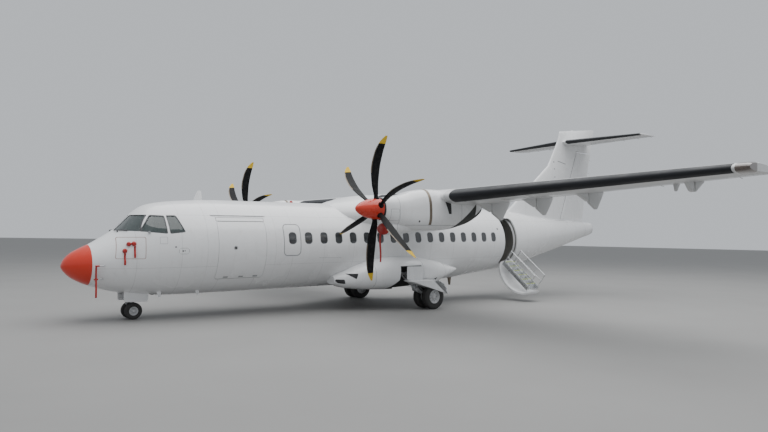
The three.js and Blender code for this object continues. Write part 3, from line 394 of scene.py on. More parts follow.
def section_loop(shape, section, lift, sides):
    """One cross-section as a loop of vertices, moved out by a lift."""
    loop = circle(shape, sides)
    for v in loop:
        side, rise = squared(v.co.x, section.power), squared(v.co.y, section.power)
        reach = section.top - section.widest if rise > 0 else section.widest - section.bottom
        v.co = (
            section.station,
            section.across + (section.half + lift) * side,
            section.widest + (reach + lift) * rise,
        )
    return loop


def stations_of(rows, first, last, step):
    """Places from first to last, no further apart than a step, with the table's own rows among them."""
    marks = [first, *(row[0] for row in rows if first < row[0] < last), last]
    places = [first]
    for a, b in zip(marks, marks[1:]):
        parts = max(1, math.ceil((b - a) / step))
        places += [a + (b - a) * (i + 1) / parts for i in range(parts)]
    return places


def hull_body(rows, first, last, lift=0.0, step=0.25, sides=SIDES_ROUND):
    """A closed body through a table of sections, between two stations."""
    shape = bmesh.new()
    places = stations_of(rows, first, last, step)
    loops = [section_loop(shape, eased(rows, at), lift, sides) for at in places]
    return skin_loops(shape, loops)


# %% [markdown]
# Doors, windows and bays are cut by prisms. An outline is one face with rounded corners that is
# extruded across the aircraft.

# %% Prisms


def outline_face(shape, corners, place, radius, segments):
    """One flat face through corners, each rounded by a radius."""
    vertices = [bmesh.ops.create_vert(shape, co=place(a, b))["vert"][0] for a, b in corners]
    face = bmesh.ops.contextual_create(shape, geom=vertices)["faces"][0]
    if radius:
        bmesh.ops.bevel(
            shape, geom=list(face.verts), offset=radius, offset_type="OFFSET", affect="VERTICES",
            segments=segments, profile=0.5, material=-1,
        )
    return list(shape.faces)[-1]


def outline_prism(corners, place, push, radius=0.0, segments=4):
    """A prism from an outline, pushed along a vector."""
    shape = bmesh.new()
    face = outline_face(shape, corners, place, radius, segments)
    made = bmesh.ops.extrude_face_region(shape, geom=[face])["geom"]
    far_side = [part for part in made if isinstance(part, bmesh.types.BMVert)]
    bmesh.ops.translate(shape, verts=far_side, vec=push)
    bmesh.ops.recalc_face_normals(shape, faces=shape.faces)
    return shape


def side_prism(corners, y0, y1, radius=0.0, segments=4):
    """A prism whose outline is seen from the side, given as stations and heights."""
    return outline_prism(corners, lambda x, z: (x, y0, z), (0, y1 - y0, 0), radius, segments)


def front_prism(corners, x0, x1, radius=0.0):
    """A prism whose outline is seen from the front, given as distances across and heights."""
    return outline_prism(corners, lambda y, z: (x0, y, z), (x1 - x0, 0, 0), radius)


def top_prism(corners, z0, z1):
    """A prism whose outline is seen from above, given as stations and distances across."""
    return outline_prism(corners, lambda x, y: (x, y, z0), (0, 0, z1 - z0))


def box_of(a0, a1, b0, b1):
    """The corners of a rectangle."""
    return [(a0, b0), (a1, b0), (a1, b1), (a0, b1)]


def block(x0, x1, y0, y1, z0, z1):
    """A box between six planes."""
    return top_prism(box_of(x0, x1, y0, y1), z0, z1)


# %% [markdown]
# Openings could be modelled face by face, but a curved skin makes that long work. `combine` lends two
# shapes to Blender's exact Boolean instead, which joins, cuts or keeps what they share.

# %% Booleans


def held(shape):
    """A shape as an object for a Boolean, with empty slots so that each face keeps its number."""
    thing = bpy.data.objects.new("work", bpy.data.meshes.new("work"))
    shape.to_mesh(thing.data)
    shape.free()
    thing.data.materials.append(None)
    thing.data.materials.append(None)
    bpy.context.scene.collection.objects.link(thing)
    return thing


def combine(first, second, how="DIFFERENCE", lined=False):
    """The first shape joined with, cut by, or kept only where it meets the second.

    Faces that a lined cut leaves behind are marked to take a piece's second finish.
    """
    if lined:
        for face in second.faces:
            face.material_index = 1
    body, tool = held(first), held(second)
    step = body.modifiers.new("step", "BOOLEAN")
    step.operation = how
    step.solver = "EXACT"
    step.object = tool
    result = bmesh.new()
    bpy.context.view_layer.update()
    result.from_object(body, bpy.context.evaluated_depsgraph_get())
    for thing in (body, tool):
        mesh = thing.data
        bpy.data.objects.remove(thing)
        bpy.data.meshes.remove(mesh)
    return result


# %% [markdown]
# Wheels, shafts and spinners are turned on a lathe or moulded round. `turned` spins a profile in the
# same way, and `gather` puts several shapes into one piece.

# %% Turned bodies


def moved(shape, matrix):
    """A shape with all of it moved by a matrix."""
    bmesh.ops.transform(shape, matrix=matrix, verts=shape.verts)
    return shape


def turned(profile, sides=48, at=(0, 0, 0), axis=(1, 0, 0)):
    """A body spun about an axis through a point, from a profile of (distance along, radius)."""
    shape = bmesh.new()
    verts = [bmesh.ops.create_vert(shape, co=(x, 0, r))["vert"][0] for x, r in profile]
    lines = [bmesh.ops.contextual_create(shape, geom=pair)["edges"][0] for pair in zip(verts, verts[1:])]
    bmesh.ops.spin(
        shape, geom=verts + lines, cent=(0, 0, 0), axis=(1, 0, 0), angle=2 * math.pi,
        steps=sides, use_merge=True,
    )
    bmesh.ops.remove_doubles(shape, verts=shape.verts, dist=1e-5)
    bmesh.ops.recalc_face_normals(shape, faces=shape.faces)
    turn = Vector((1, 0, 0)).rotation_difference(Vector(axis)).to_matrix().to_4x4()
    return moved(shape, Matrix.Translation(at) @ turn)


def gather(*shapes):
    """Several shapes as one, without joining their surfaces."""
    whole = bmesh.new()
    for shape in shapes:
        mesh = bpy.data.meshes.new("part")
        shape.to_mesh(mesh)
        shape.free()
        whole.from_mesh(mesh)
        bpy.data.meshes.remove(mesh)
    return whole


# %% [markdown]
# Every finished piece is set in place by one function. It moves the shape from the airframe's own
# frame to the ground's, shades it smooth with sharp edges kept, gives it its finish, hands it to the
# body that carries it, and prints how many faces it has.

# %% Setting a piece in place
SHARP = math.radians(32)


def piece(name, shape, finish, body="airframe", stands_for=(), space=AIRFRAME, lining=None):
    """A finished piece: placed, shaded, painted, and riding on its body."""
    mesh = bpy.data.meshes.new(name)
    bmesh.ops.remove_doubles(shape, verts=shape.verts, dist=1e-6)
    if not lining:
        for face in shape.faces:
            face.material_index = 0
    shape.to_mesh(mesh)
    shape.free()
    mesh.transform(space)
    mesh.shade_smooth()
    mesh.set_sharp_from_angle(angle=SHARP)
    for paint in (finish, lining):
        if paint:
            mesh.materials.append(paint.material)
    thing = bpy.data.objects.new(name, mesh)
    bpy.context.scene.collection.objects.link(thing)
    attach(thing, body)
    if stands_for:
        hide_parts(*([stands_for] if isinstance(stands_for, str) else stands_for))
    print(f"{name}: {len(mesh.polygons)} faces")
    return thing


# %% [markdown]
# ## Fuselage
# The fuselage is one tapering tube, parted where the real sections meet. Its table gives the lowest and
# highest point of each section, half its width and the height at which it is widest.

# %% Hull table
HULL = [
    Section(0.00, -0.500, -0.420, 0.045, -0.460),
    Section(0.04, -0.575, -0.320, 0.150, -0.450),
    Section(0.19, -0.740, -0.150, 0.335, -0.440),
    Section(0.46, -0.905, 0.010, 0.545, -0.420),
    Section(0.64, -0.980, 0.095, 0.650, -0.405),
    Section(0.92, -1.080, 0.265, 0.790, -0.370),
    Section(1.24, -1.165, 0.475, 0.930, -0.320),
    Section(1.58, -1.230, 0.815, 1.050, -0.250),
    Section(1.85, -1.265, 1.055, 1.130, -0.190),
    Section(2.07, -1.290, 1.160, 1.190, -0.150),
    Section(2.41, -1.318, 1.228, 1.265, -0.090),
    Section(2.99, -1.332, 1.290, 1.345, -0.030),
    Section(3.80, -1.335, 1.330, 1.392, 0.000),
    Section(4.30, -1.335, 1.335, 1.400, 0.000),
    Section(12.90, -1.335, 1.335, 1.400, 0.000),
    Section(13.80, -1.240, 1.330, 1.385, 0.020),
    Section(15.70, -1.065, 1.295, 1.280, 0.060),
    Section(16.50, -0.985, 1.265, 1.185, 0.110),
    Section(18.20, -0.620, 1.090, 0.850, 0.240),
    Section(20.13, -0.215, 0.965, 0.500, 0.380),
    Section(21.73, 0.165, 0.880, 0.250, 0.520),
    Section(22.49, 0.350, 0.830, 0.120, 0.600),
    Section(22.57, 0.470, 0.770, 0.060, 0.620),
]
WALL = 0.06
RADOME_END = 0.62
COCKPIT_END = 3.3
BAGGAGE_END = 5.3
CABIN_END = 14.2
ENTRY_END = 16.6
HALF_GAP = 0.0015
CLEAR = 3.0
print("hull length:", HULL[-1].station)

# %% [markdown]
# The flight deck has a pane in front of each pilot and two at each side. Their outlines are drawn flat,
# as seen from ahead and from the side, and pushed through the skin.

# %% Flight-deck openings
WINDSHIELD = [(0.055, 0.47), (0.055, 0.85), (0.64, 0.85), (0.88, 0.43)]
SIDE_WINDOWS = [
    [(1.67, 0.43), (1.95, 0.84), (2.27, 0.83), (2.29, 0.375)],
    [(2.365, 0.375), (2.33, 0.835), (2.56, 0.835), (2.73, 0.415)],
]
WINDOW_CORNER = 0.035
BOTH_SIDES = {"left": -1, "right": 1}
OUTSIDE = 2.0
CORNER_SHARE = 1.35


def grown(corners, by):
    """An outline with its corners moved away from the middle, so that its sides move out by about that."""
    middle = (sum(a for a, b in corners) / len(corners), sum(b for a, b in corners) / len(corners))
    larger = []
    for a, b in corners:
        across, along = a - middle[0], b - middle[1]
        far = math.hypot(across, along)
        larger.append((a + across / far * by * CORNER_SHARE, b + along / far * by * CORNER_SHARE))
    return larger


def cockpit_windows(by=0.0):
    """A prism through each of the six flight-deck windows, grown by a distance."""
    tools = []
    for side in BOTH_SIDES.values():
        shield = [(side * y, z) for y, z in grown(WINDSHIELD, by)]
        tools.append(front_prism(shield, 1.1, 2.06, WINDOW_CORNER))
        for corners in SIDE_WINDOWS:
            tools.append(side_prism(grown(corners, by), side * 0.5, side * OUTSIDE, WINDOW_CORNER))
    return tools


# %% [markdown]
# A thin piece that follows the skin is what a prism takes from the hull, less a slightly smaller hull.
# A hollow section is made the other way round: the smaller hull is cut out of the solid one, which
# leaves a wall of even thickness.

# %% Sheets and hollow sections


def skin_patch(tool, first, last, lift=0.0, wall=0.01, step=0.25):
    """A curved sheet that follows the skin, where a tool meets it, its outer face lifted off the skin."""
    outer = hull_body(HULL, first, last, lift, step)
    inner = hull_body(HULL, first, last, lift - wall, step)
    for v in inner.verts:
        v.co.x += -0.01 if v.co.x < first + 0.001 else 0.01 if v.co.x > last - 0.001 else 0
    return combine(combine(outer, tool, "INTERSECT"), inner)


def hollow(outer, first, last, floor, ceiling=CLEAR):
    """The outer body with the room between two stations cut out of it, above a floor."""
    room = block(first - 1, last + 1, -CLEAR, CLEAR, floor, ceiling)
    room = combine(hull_body(HULL, first, last, -WALL), room, "INTERSECT")
    return combine(outer, room, lined=True)


# %% [markdown]
# The nose is hollow above the flight-deck floor, and the bay of the nose wheels is cut into it from
# below. A red radome closes it in front, with a pale band round its edge.

# %% Nose and radome
bay_lining = Finish("bay_lining", (0.05, 0.052, 0.05), 0.75)
bay_lining.wander((0.028, 0.03, 0.03), (0.085, 0.088, 0.08), 6, 5, 0.6)
DECK_ROOM = (1.05, 3.24, -0.52)
NOSE_BAY = (1.4, 2.22, -0.33, 0.33, -CLEAR, -0.72)

nose = hollow(hull_body(HULL, RADOME_END, COCKPIT_END - HALF_GAP, step=0.1), *DECK_ROOM)
nose = combine(nose, block(*NOSE_BAY), lined=True)
for tool in cockpit_windows():
    nose = combine(nose, tool)
piece("nose_skin", nose, skin_white, stands_for="nose_fuselage", lining=bay_lining)

radome_red = enamel("radome_red", (0.66, 0.035, 0.012), 0.33, grime=0.12, coat=0.2, slot="red_paint")
radome = hull_body(HULL, HULL[0].station, RADOME_END - 0.012, step=0.03)
piece("radome_shell", radome, radome_red, stands_for="radome")
radome_edge = skin_patch(block(0.606, RADOME_END - 0.001, -2, 2, -2, 2), 0.59, 0.64, 0.0015, 0.05)
piece("radome_edge_band", radome_edge, door_white)

# %% [markdown]
# ## Flight-deck windows
# Six panes fill the cut openings, set back by a centimetre, with a dark rubber seal round each.
# Aircraft glass is thick and slightly green, and from outside it mostly mirrors the sky, so the
# material is dark, very smooth and only partly see-through.

# %% Flight-deck windows
GLASS_BACK = 0.012
SEAL = 0.014
deck_glass = Finish("deck_glass", (0.055, 0.075, 0.075), 0.04, slot="window_glass", IOR=1.5, Alpha=0.62)
deck_glass.set("Coat Weight", 1.0)
deck_glass.set("Coat Roughness", 0.02)
smear = deck_glass.wander((0.05, 0.07, 0.07), (0.085, 0.11, 0.105), 5, 4, 0.6)
deck_glass.set("Roughness", deck_glass.ramp(smear, 0.5, 0.8, 0.03, 0.12))

seal_rubber = Finish("seal_rubber", (0.06, 0.062, 0.065), 0.6)
seal_rubber.wander((0.045, 0.046, 0.05), (0.11, 0.11, 0.115), 40, 3)

panes = [skin_patch(tool, 1.0, 2.9, -GLASS_BACK, 0.012, step=0.08) for tool in cockpit_windows()]
piece("flight_deck_panes", gather(*panes), deck_glass, stands_for="cockpit_glazing")
rims = [
    skin_patch(combine(outer, inner), 1.0, 2.95, 0.0015, 0.03, step=0.08)
    for outer, inner in zip(cockpit_windows(SEAL), cockpit_windows(-0.004))
]
piece("flight_deck_seals", gather(*rims), seal_rubber)

# %% [markdown]
# ## Flight deck inside
# Through the windows one sees the top of the instrument panel, two seats with their headrests and the
# two control wheels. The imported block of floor, panel and seats keeps its shape and gets a worn dark
# trim. A control wheel is bent from bar, so it is drawn as one.

# %% Flight deck inside
trim_grey = Finish("cabin_trim", (0.09, 0.09, 0.095), 0.7, slot="interior_grey")
grain = trim_grey.wander((0.06, 0.062, 0.068), (0.14, 0.14, 0.145), 60, 5, 0.6)
trim_grey.bump(grain, 0.25, 0.002)


def dress_node(name, finish):
    """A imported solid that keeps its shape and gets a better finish."""
    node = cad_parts[name]
    node.data.materials.clear()
    node.data.materials.append(finish.material)


dress_node("cockpit_interior", trim_grey)


def softened(shape, width, segments=2):
    """A shape with all of its sharp edges rounded."""
    sharp = [e for e in shape.edges if len(e.link_faces) == 2 and e.calc_face_angle(0) > 0.5]
    bmesh.ops.bevel(
        shape, geom=sharp, offset=width, offset_type="OFFSET", affect="EDGES",
        segments=segments, profile=0.5, material=-1,
    )
    return shape


def pipe(points, radius, sides=12):
    """A round bar along straight runs, with a ball-like joint at each bend."""
    shape = bmesh.new()
    for start, end in zip(points, points[1:]):
        start, end = Vector(start), Vector(end)
        along = end - start
        turn = along.to_track_quat("Z", "Y").to_matrix().to_4x4()
        bmesh.ops.create_cone(
            shape, cap_ends=True, segments=sides, radius1=radius, radius2=radius, depth=along.length,
            matrix=Matrix.Translation((start + end) / 2) @ turn,
        )
    for bend in points[1:-1]:
        there = Matrix.Translation(Vector(bend))
        bmesh.ops.create_icosphere(shape, subdivisions=2, radius=radius, matrix=there)
    return shape


SEAT_OUT = 0.48
HEADREST_HALF = 0.13
COLUMN = [(1.72, -0.3), (1.80, 0.12), (1.86, 0.16)]
GRIPS = [(-0.16, 0.26), (-0.14, 0.14), (0.14, 0.14), (0.16, 0.26)]
deck_parts = []
for side in BOTH_SIDES.values():
    seat = side * SEAT_OUT
    headrest = block(2.45, 2.57, seat - HEADREST_HALF, seat + HEADREST_HALF, 0.5, 0.68)
    deck_parts.append(softened(headrest, 0.03))
    deck_parts.append(pipe([(x, seat, z) for x, z in COLUMN], 0.022))
    deck_parts.append(pipe([(COLUMN[-1][0], seat + y, z) for y, z in GRIPS], 0.017))
piece("headrests_and_wheels", gather(*deck_parts), trim_grey)

# %% [markdown]
# ## Baggage bay and its door
# Behind the flight deck a large door opens into the baggage bay. The bay is hollow, with a flat floor,
# and the door is a patch of the same skin with a narrow gap round it.

# %% Baggage bay and door
Door = namedtuple("Door", "first last sill head corner")
CARGO = Door(3.6, 5.0, -0.876, 0.694, 0.06)
CARGO_THICK = 0.08
DOOR_GAP = 0.008
BAGGAGE_ROOM = (3.36, 5.24, CARGO.sill)


def doorway(door, gap=0.0):
    """The outline of a door, or of the hole that leaves a gap round it."""
    return box_of(door.first - gap, door.last + gap, door.sill - gap, door.head + gap)


forward = hull_body(HULL, COCKPIT_END + HALF_GAP, BAGGAGE_END - HALF_GAP, step=0.3)
forward = hollow(forward, *BAGGAGE_ROOM)
hole = side_prism(doorway(CARGO, DOOR_GAP), -0.4, -OUTSIDE, CARGO.corner + DOOR_GAP, 6)
forward = combine(forward, hole)
piece("forward_skin", forward, skin_white, stands_for="forward_fuselage", lining=bay_lining)
door_tool = side_prism(doorway(CARGO), -0.4, -OUTSIDE, CARGO.corner, 6)
cargo_door = skin_patch(door_tool, 3.4, 5.2, 0.0, CARGO_THICK)
piece("baggage_door", cargo_door, door_white, "cargo_door", stands_for="cargo_door")

# %% [markdown]
# Above the door lie its hinge strip and a gutter that keeps rain off it. Three latches close its sill,
# and a small dark gauge sits in its middle. All follow the skin, so each is a thin patch of it.

# %% Baggage door fittings
alloy_grey = Finish("alloy_grey", (0.42, 0.43, 0.44), 0.38, 0.7, slot="gear_metal")
scuff = alloy_grey.wander((0.33, 0.34, 0.35), (0.55, 0.56, 0.57), 28, 5, 0.65)
alloy_grey.set("Roughness", alloy_grey.ramp(scuff, 0.3, 0.7, 0.28, 0.5))
dark_gap = Finish("dark_gap", (0.03, 0.03, 0.032), 0.8)
dark_gap.wander((0.02, 0.02, 0.022), (0.05, 0.05, 0.052), 15, 3)


def side_patch(corners, lift, wall=0.01, radius=0.0, side=-1):
    """A curved sheet on one side of the fuselage inside an outline seen from the side."""
    first = min(a for a, b in corners) - 0.1
    last = max(a for a, b in corners) + 0.1
    return skin_patch(side_prism(corners, side * 0.02, side * 2.2, radius), first, last, lift, wall)


LATCHES_AT = (3.90, 4.35, 4.78)
hinge_strip = side_patch(box_of(3.60, 4.99, 0.715, 0.80), 0.004, 0.012, 0.01)
piece("baggage_hinge_strip", hinge_strip, door_white)
gutter = side_patch(box_of(3.47, 5.08, 0.868, 0.884), 0.022, 0.03)
piece("baggage_rain_gutter", gutter, door_white)
latches = [box_of(x - 0.07, x + 0.07, -0.858, -0.812) for x in LATCHES_AT]
latches = gather(*[side_patch(corners, 0.003, 0.008, 0.012) for corners in latches])
piece("baggage_latches", latches, alloy_grey, "cargo_door")
gauge = side_patch(box_of(4.035, 4.11, -0.062, 0.012), 0.002, 0.006, 0.036)
piece("baggage_door_gauge", gauge, dark_gap, "cargo_door")

# %% [markdown]
# ## Cabin skin and windows
# Seventeen windows run along each side at an even pitch. Each one is a shallow pocket in the skin with
# a pane set back in it and a grey seal ring. The first window of each side sits in an emergency exit,
# which is a separate panel with a thin joint round it, and the last one in the rear section.

# %% Cabin skin and windows
WINDOW_FIRST = 5.84
WINDOW_PITCH = 0.5334
WINDOWS = 17
WINDOW_HALF = (0.132, 0.178)
WINDOW_HEIGHT = 0.23
EXIT = box_of(5.56, 6.10, -0.27, 0.63)
EXIT_HOLE = box_of(5.556, 6.104, -0.274, 0.634)
EXIT_RIM = (box_of(5.546, 6.114, -0.284, 0.644), box_of(5.570, 6.090, -0.260, 0.620))


def window_outline(number, by=0.0):
    """The outline of one cabin window, grown by a distance."""
    at = WINDOW_FIRST + WINDOW_PITCH * number
    wide, tall = WINDOW_HALF[0] + by, WINDOW_HALF[1] + by
    return box_of(at - wide, at + wide, WINDOW_HEIGHT - tall, WINDOW_HEIGHT + tall)


def window_tools(numbers, side, by=0.0):
    """Prisms through some of the cabin windows of one side, from just under the skin outwards."""
    return gather(*[
        side_prism(window_outline(n, by), side * 1.0, side * OUTSIDE, 0.105 + by, 5) for n in numbers
    ])


def pocket(tool, first, last, depth=0.03):
    """The room of a shallow pocket: what the tool takes from the skin, down to a depth."""
    return skin_patch(tool, first, last, 0.02, 0.02 + depth, step=0.5)


centre = hull_body(HULL, BAGGAGE_END + HALF_GAP, CABIN_END - HALF_GAP, step=0.6)
for side in BOTH_SIDES.values():
    exit_tool = side_prism(EXIT_HOLE, side * 0.9, side * OUTSIDE, 0.124, 5)
    centre = combine(centre, pocket(exit_tool, 5.4, 6.3, 0.045))
    centre = combine(centre, pocket(window_tools(range(1, WINDOWS - 1), side), 5.8, 14.15))
piece("cabin_skin", centre, skin_white, stands_for="centre_fuselage")

# %% [markdown]
# Behind each pane the cabin is dark, and no cabin is built there, so the pane is a glossy plate whose
# near-black colour is painted shade of that cabin. The grey rubber ring round it stands a little proud of
# the pane and a little behind the skin.

# %% Panes, seals and emergency exits
# The panes' near-black colour is painted shade of the unlit cabin behind them.
pane_glass_and_shade = Finish("cabin_glass_with_shade", (0.03, 0.032, 0.034), 0.1, slot="window_glass", Coat_Weight=1.0)
pane_glass_and_shade.set("Coat Roughness", 0.03)
pane_glass_and_shade.wander((0.018, 0.02, 0.022), (0.055, 0.058, 0.062), 1.4, 3)
seal_grey = Finish("seal_grey", (0.25, 0.255, 0.265), 0.5)
seal_grey.wander((0.2, 0.205, 0.215), (0.33, 0.335, 0.345), 22, 3)


def cabin_window(number, side):
    """A pane and the ring round it, both following the skin."""
    outline = window_outline(number)
    first, last = outline[0][0] - 0.05, outline[1][0] + 0.05
    pane = skin_patch(window_tools([number], side, -0.012), first, last, -0.016, 0.008)
    ring = combine(window_tools([number], side, 0.002), window_tools([number], side, -0.012))
    return pane, skin_patch(ring, first, last, -0.008, 0.022)


for name, side in BOTH_SIDES.items():
    hatch_tool = side_prism(EXIT, side * 0.9, side * OUTSIDE, 0.12, 5)
    hatch = skin_patch(hatch_tool, 5.4, 6.3, 0.0, 0.04)
    hatch = combine(hatch, pocket(window_tools([0], side), 5.5, 6.2))
    piece(f"exit_hatch_{name}", hatch, door_white, stands_for=f"emergency_exit_{name}")
    made = [cabin_window(n, side) for n in range(WINDOWS)]
    piece(f"cabin_panes_{name}", gather(*[pane for pane, ring in made]), pane_glass_and_shade)
    piece(f"cabin_seals_{name}", gather(*[ring for pane, ring in made]), seal_grey)
    rim = combine(
        side_prism(EXIT_RIM[0], side * 0.9, side * OUTSIDE, 0.134, 5),
        side_prism(EXIT_RIM[1], side * 0.9, side * OUTSIDE, 0.11, 5),
    )
    piece(f"exit_joint_{name}", skin_patch(rim, 5.4, 6.3, 0.0012, 0.008), seal_grey)

# %% [markdown]
# ## Entry, service door and tail cone
# At the rear a doorway opens to port, with its airstair let down, and a smaller service door closes the
# starboard side. The entrance between them is hollow, and a jamb frames the doorway inside. Behind it
# the tail cone tapers away.

# %% Entry and tail cone
ENTRY = Door(15.05, 15.80, -0.802, 0.95, 0.14)
ENTRY_ROOM = (14.7, 16.3, ENTRY.sill, 1.02)
SERVICE = box_of(15.12, 15.73, -0.40, 0.82)
JAMB = (box_of(15.0, 15.85, -0.80, 1.0), box_of(15.09, 15.76, -0.79, 0.91))
JAMB_DEEP = 0.135

entry_lining = Finish("entry_lining", (0.42, 0.41, 0.39), 0.7)
entry_lining.wander((0.33, 0.32, 0.30), (0.52, 0.51, 0.48), 5, 5, 0.6)
rear = hollow(hull_body(HULL, CABIN_END, ENTRY_END - HALF_GAP, step=0.25), *ENTRY_ROOM)
rear = combine(rear, side_prism(doorway(ENTRY, DOOR_GAP), -0.3, -OUTSIDE, ENTRY.corner, 6))
rear = combine(rear, side_prism(grown(SERVICE, 0.003), 0.3, OUTSIDE, 0.12, 5))
for side in BOTH_SIDES.values():
    rear = combine(rear, pocket(window_tools([WINDOWS - 1], side), 14.21, 14.7))
piece("rear_skin", rear, skin_white, stands_for="rear_fuselage", lining=entry_lining)
jamb = combine(side_prism(JAMB[0], -0.3, -2.0, 0.16, 6), side_prism(JAMB[1], -0.2, -2.1, 0.11, 6))
piece("entry_jamb", skin_patch(jamb, 14.9, 15.95, -JAMB_DEEP, 0.04), door_white)
service = skin_patch(side_prism(SERVICE, 0.3, OUTSIDE, 0.12, 5), 15.0, 15.9, 0.0, WALL)
piece("service_door_panel", service, door_white, stands_for="service_door")
tail = hull_body(HULL, ENTRY_END + HALF_GAP, HULL[-1].station, step=0.25)
piece("tail_cone_skin", tail, skin_white, stands_for="tail_cone")

# %% [markdown]
# ## Wing
# A wing is a row of aerofoils. One circle of vertices becomes an aerofoil by sliding each vertex to its
# share of the chord, so the points crowd at the nose, where the curve is tight.
# The middle of the wing has an even chord, and each outer panel tapers and rises to its tip.

# %% Aerofoils
Station = namedtuple("Station", "out edge chord height thick")
Surface = namedtuple("Surface", "rows camber incidence hinge")
WING_BREAK = 4.55
ROOT_CHORD = 2.57
WING = [
    Station(0.0, 8.83, ROOT_CHORD, 1.42, 0.18),
    Station(WING_BREAK, 8.83, ROOT_CHORD, 1.42, 0.18),
    Station(12.285, 9.48, 1.41, 1.6725, 0.16),
]
TAILPLANE = [Station(0.0, 20.225, 1.95, 4.48, 0.12), Station(3.56, 20.825, 1.14, 4.48, 0.10)]
wing = Surface(WING, camber=0.02, incidence=math.radians(2), hinge=0.74)
tailplane = Surface(TAILPLANE, camber=0.0, incidence=0.0, hinge=0.66)
FOIL_SIDES = 72
HINGE_GAP = 0.008


def row_at(surface, out):
    """The aerofoil's place and size at one distance out, on straight edges between the table's rows."""
    rows = surface.rows
    i = 1 if len(rows) == 2 or out <= rows[1].out else 2
    share = (out - rows[i - 1].out) / (rows[i].out - rows[i - 1].out)
    return Station(*(a + share * (b - a) for a, b in zip(rows[i - 1], rows[i])))


def half_thick(f, thick):
    """Half the thickness of the aerofoil as a share of its chord."""
    curve = 0.2969 * math.sqrt(f) - 0.126 * f - 0.3516 * f**2 + 0.2843 * f**3 - 0.1036 * f**4
    return 5 * thick * curve + 0.0015 * f


def on_foil(surface, row, side, f, over):
    """A point at a share f of the chord and a share over above the camber line."""
    height = 4 * surface.camber * f * (1 - f) + over - surface.incidence * f
    return Vector((row.edge + row.chord * f, side * row.out, row.height + row.chord * height))


def signed(size, like):
    """A size with the sign of another number, or 0 where that number is 0."""
    return 0 if abs(like) < 1e-6 else math.copysign(size, like)


def foil_loop(shape, surface, side, out, squeeze=1.0, lift=0.0):
    """One aerofoil as a loop of vertices."""
    row = row_at(surface, out)
    row = row._replace(edge=row.edge - lift, chord=row.chord + 2 * lift)
    loop = circle(shape, FOIL_SIDES)
    for v in loop:
        f = min(max((1 + v.co.x) / 2, 0), 1)
        over = half_thick(f, row.thick) * squeeze + lift / row.chord
        v.co = on_foil(surface, row, side, f, signed(over, v.co.y))
    return loop


def foil_body(surface, side, outs, lift=0.0):
    """A closed body through aerofoils, given as distances out and how much each is squeezed."""
    shape = bmesh.new()
    loops = [foil_loop(shape, surface, side, out, squeeze, lift) for out, squeeze in outs]
    return skin_loops(shape, loops)


# %% [markdown]
# Flaps, ailerons and elevators turn at the rear of a wing. The wing is cut back ahead of their hinge
# line, and each of them gets a nose that is round about that line, so that the gap in front of it stays
# even as it turns.

# %% Parts that turn


def corner_loop(shape, points):
    """A loop through a few given points."""
    loop = circle(shape, len(points))
    for v, place in zip(loop, points):
        v.co = place
    return loop


def moving_room(surface, side, first, last):
    """The room cut out of a wing for a part that turns at its rear."""
    shape = bmesh.new()
    loops = []
    for out in (first, last):
        row = row_at(surface, out)
        start = surface.hinge - half_thick(surface.hinge, row.thick) - HINGE_GAP / row.chord
        corners = [(start, 0.2), (1.2, 0.2), (1.2, -0.2), (start, -0.2)]
        flat = surface._replace(camber=0.0)
        loops.append(corner_loop(shape, [on_foil(flat, row, side, f, over) for f, over in corners]))
    return skin_loops(shape, loops)


def share_aft(x):
    """How far aft of the hinge a vertex goes, from its place in the rear half of the unit circle."""
    return 1 - math.acos(min(x, 1)) / (math.pi / 2)


def moving_body(surface, side, first, last):
    """A part that turns at the rear of a wing: a round nose about its hinge and flat sides behind."""
    shape = bmesh.new()
    loops = []
    for out in (first, last):
        row = row_at(surface, out)
        nose_radius = half_thick(surface.hinge, row.thick) * row.chord
        hinge = on_foil(surface, row, side, surface.hinge, 0)
        loop = circle(shape, 48)
        for v in loop:
            if v.co.x <= 1e-6:
                v.co = hinge + Vector((nose_radius * v.co.x, 0, nose_radius * v.co.y))
                continue
            f = surface.hinge + (1 - surface.hinge) * share_aft(v.co.x)
            v.co = on_foil(surface, row, side, f, signed(half_thick(f, row.thick), v.co.y))
        loops.append(loop)
    return skin_loops(shape, loops)


# %% [markdown]
# Under the flaps hang deep pointed blades that hide the flap hinges. The front half of each is fixed to
# the wing and the rear half swings down with the flap, so each half is a piece of the part it moves with.

# %% Flap and aileron blades
HUNG_AT = 0.7
HUNG_BELOW = 0.33
BLADE_HALF = 0.045
BLADE_OUTS = dict(inner=(1.90, 3.15), outer=(4.70, 6.37, 8.04), aileron=10.72, horn=10.25)
FIXED_BLADE = [(-0.90, 0.26), (-0.037, -0.098), (-0.012, 0.0), (-0.03, 0.26)]
FLAP_BLADE = [
    (0.0, 0.0), (0.06, -0.14), (0.40, -0.335), (0.465, -0.325), (0.84, 0.225),
    (0.83, 0.24), (0.64, 0.254), (0.30, 0.28), (0.0, 0.27),
]
AILERON_FRONT = [(-0.62, 0.25), (-0.22, -0.135), (-0.06, -0.175), (-0.06, 0.26)]
AILERON_BLADE = [
    (0.06, 0.19), (0.085, -0.165), (0.13, -0.14), (0.73, 0.222), (0.60, 0.245),
    (0.20, 0.29), (0.10, 0.30),
]
AILERON_HORN = [(0.11, 0.23), (0.22, -0.055), (0.28, -0.055), (0.50, 0.225), (0.40, 0.26), (0.18, 0.29)]


def hinge_blade(side, out, corners, half=BLADE_HALF):
    """One blade under the wing, its corners given from the flap's hinge, with rounded edges."""
    row = row_at(wing, out)
    scale = row.chord / ROOT_CHORD
    x, z = row.edge + row.chord * HUNG_AT, row.height - HUNG_BELOW * scale
    placed = [(x + dx * scale, z + dz * scale) for dx, dz in corners]
    shape = side_prism(placed, side * out - half, side * out + half)
    return softened(shape, 0.018, 3)


# %% [markdown]
# The middle of the wing crosses above the cabin, and a long fairing saddles it to the roof. The fairing
# is one more body through stations, joined to the wing.

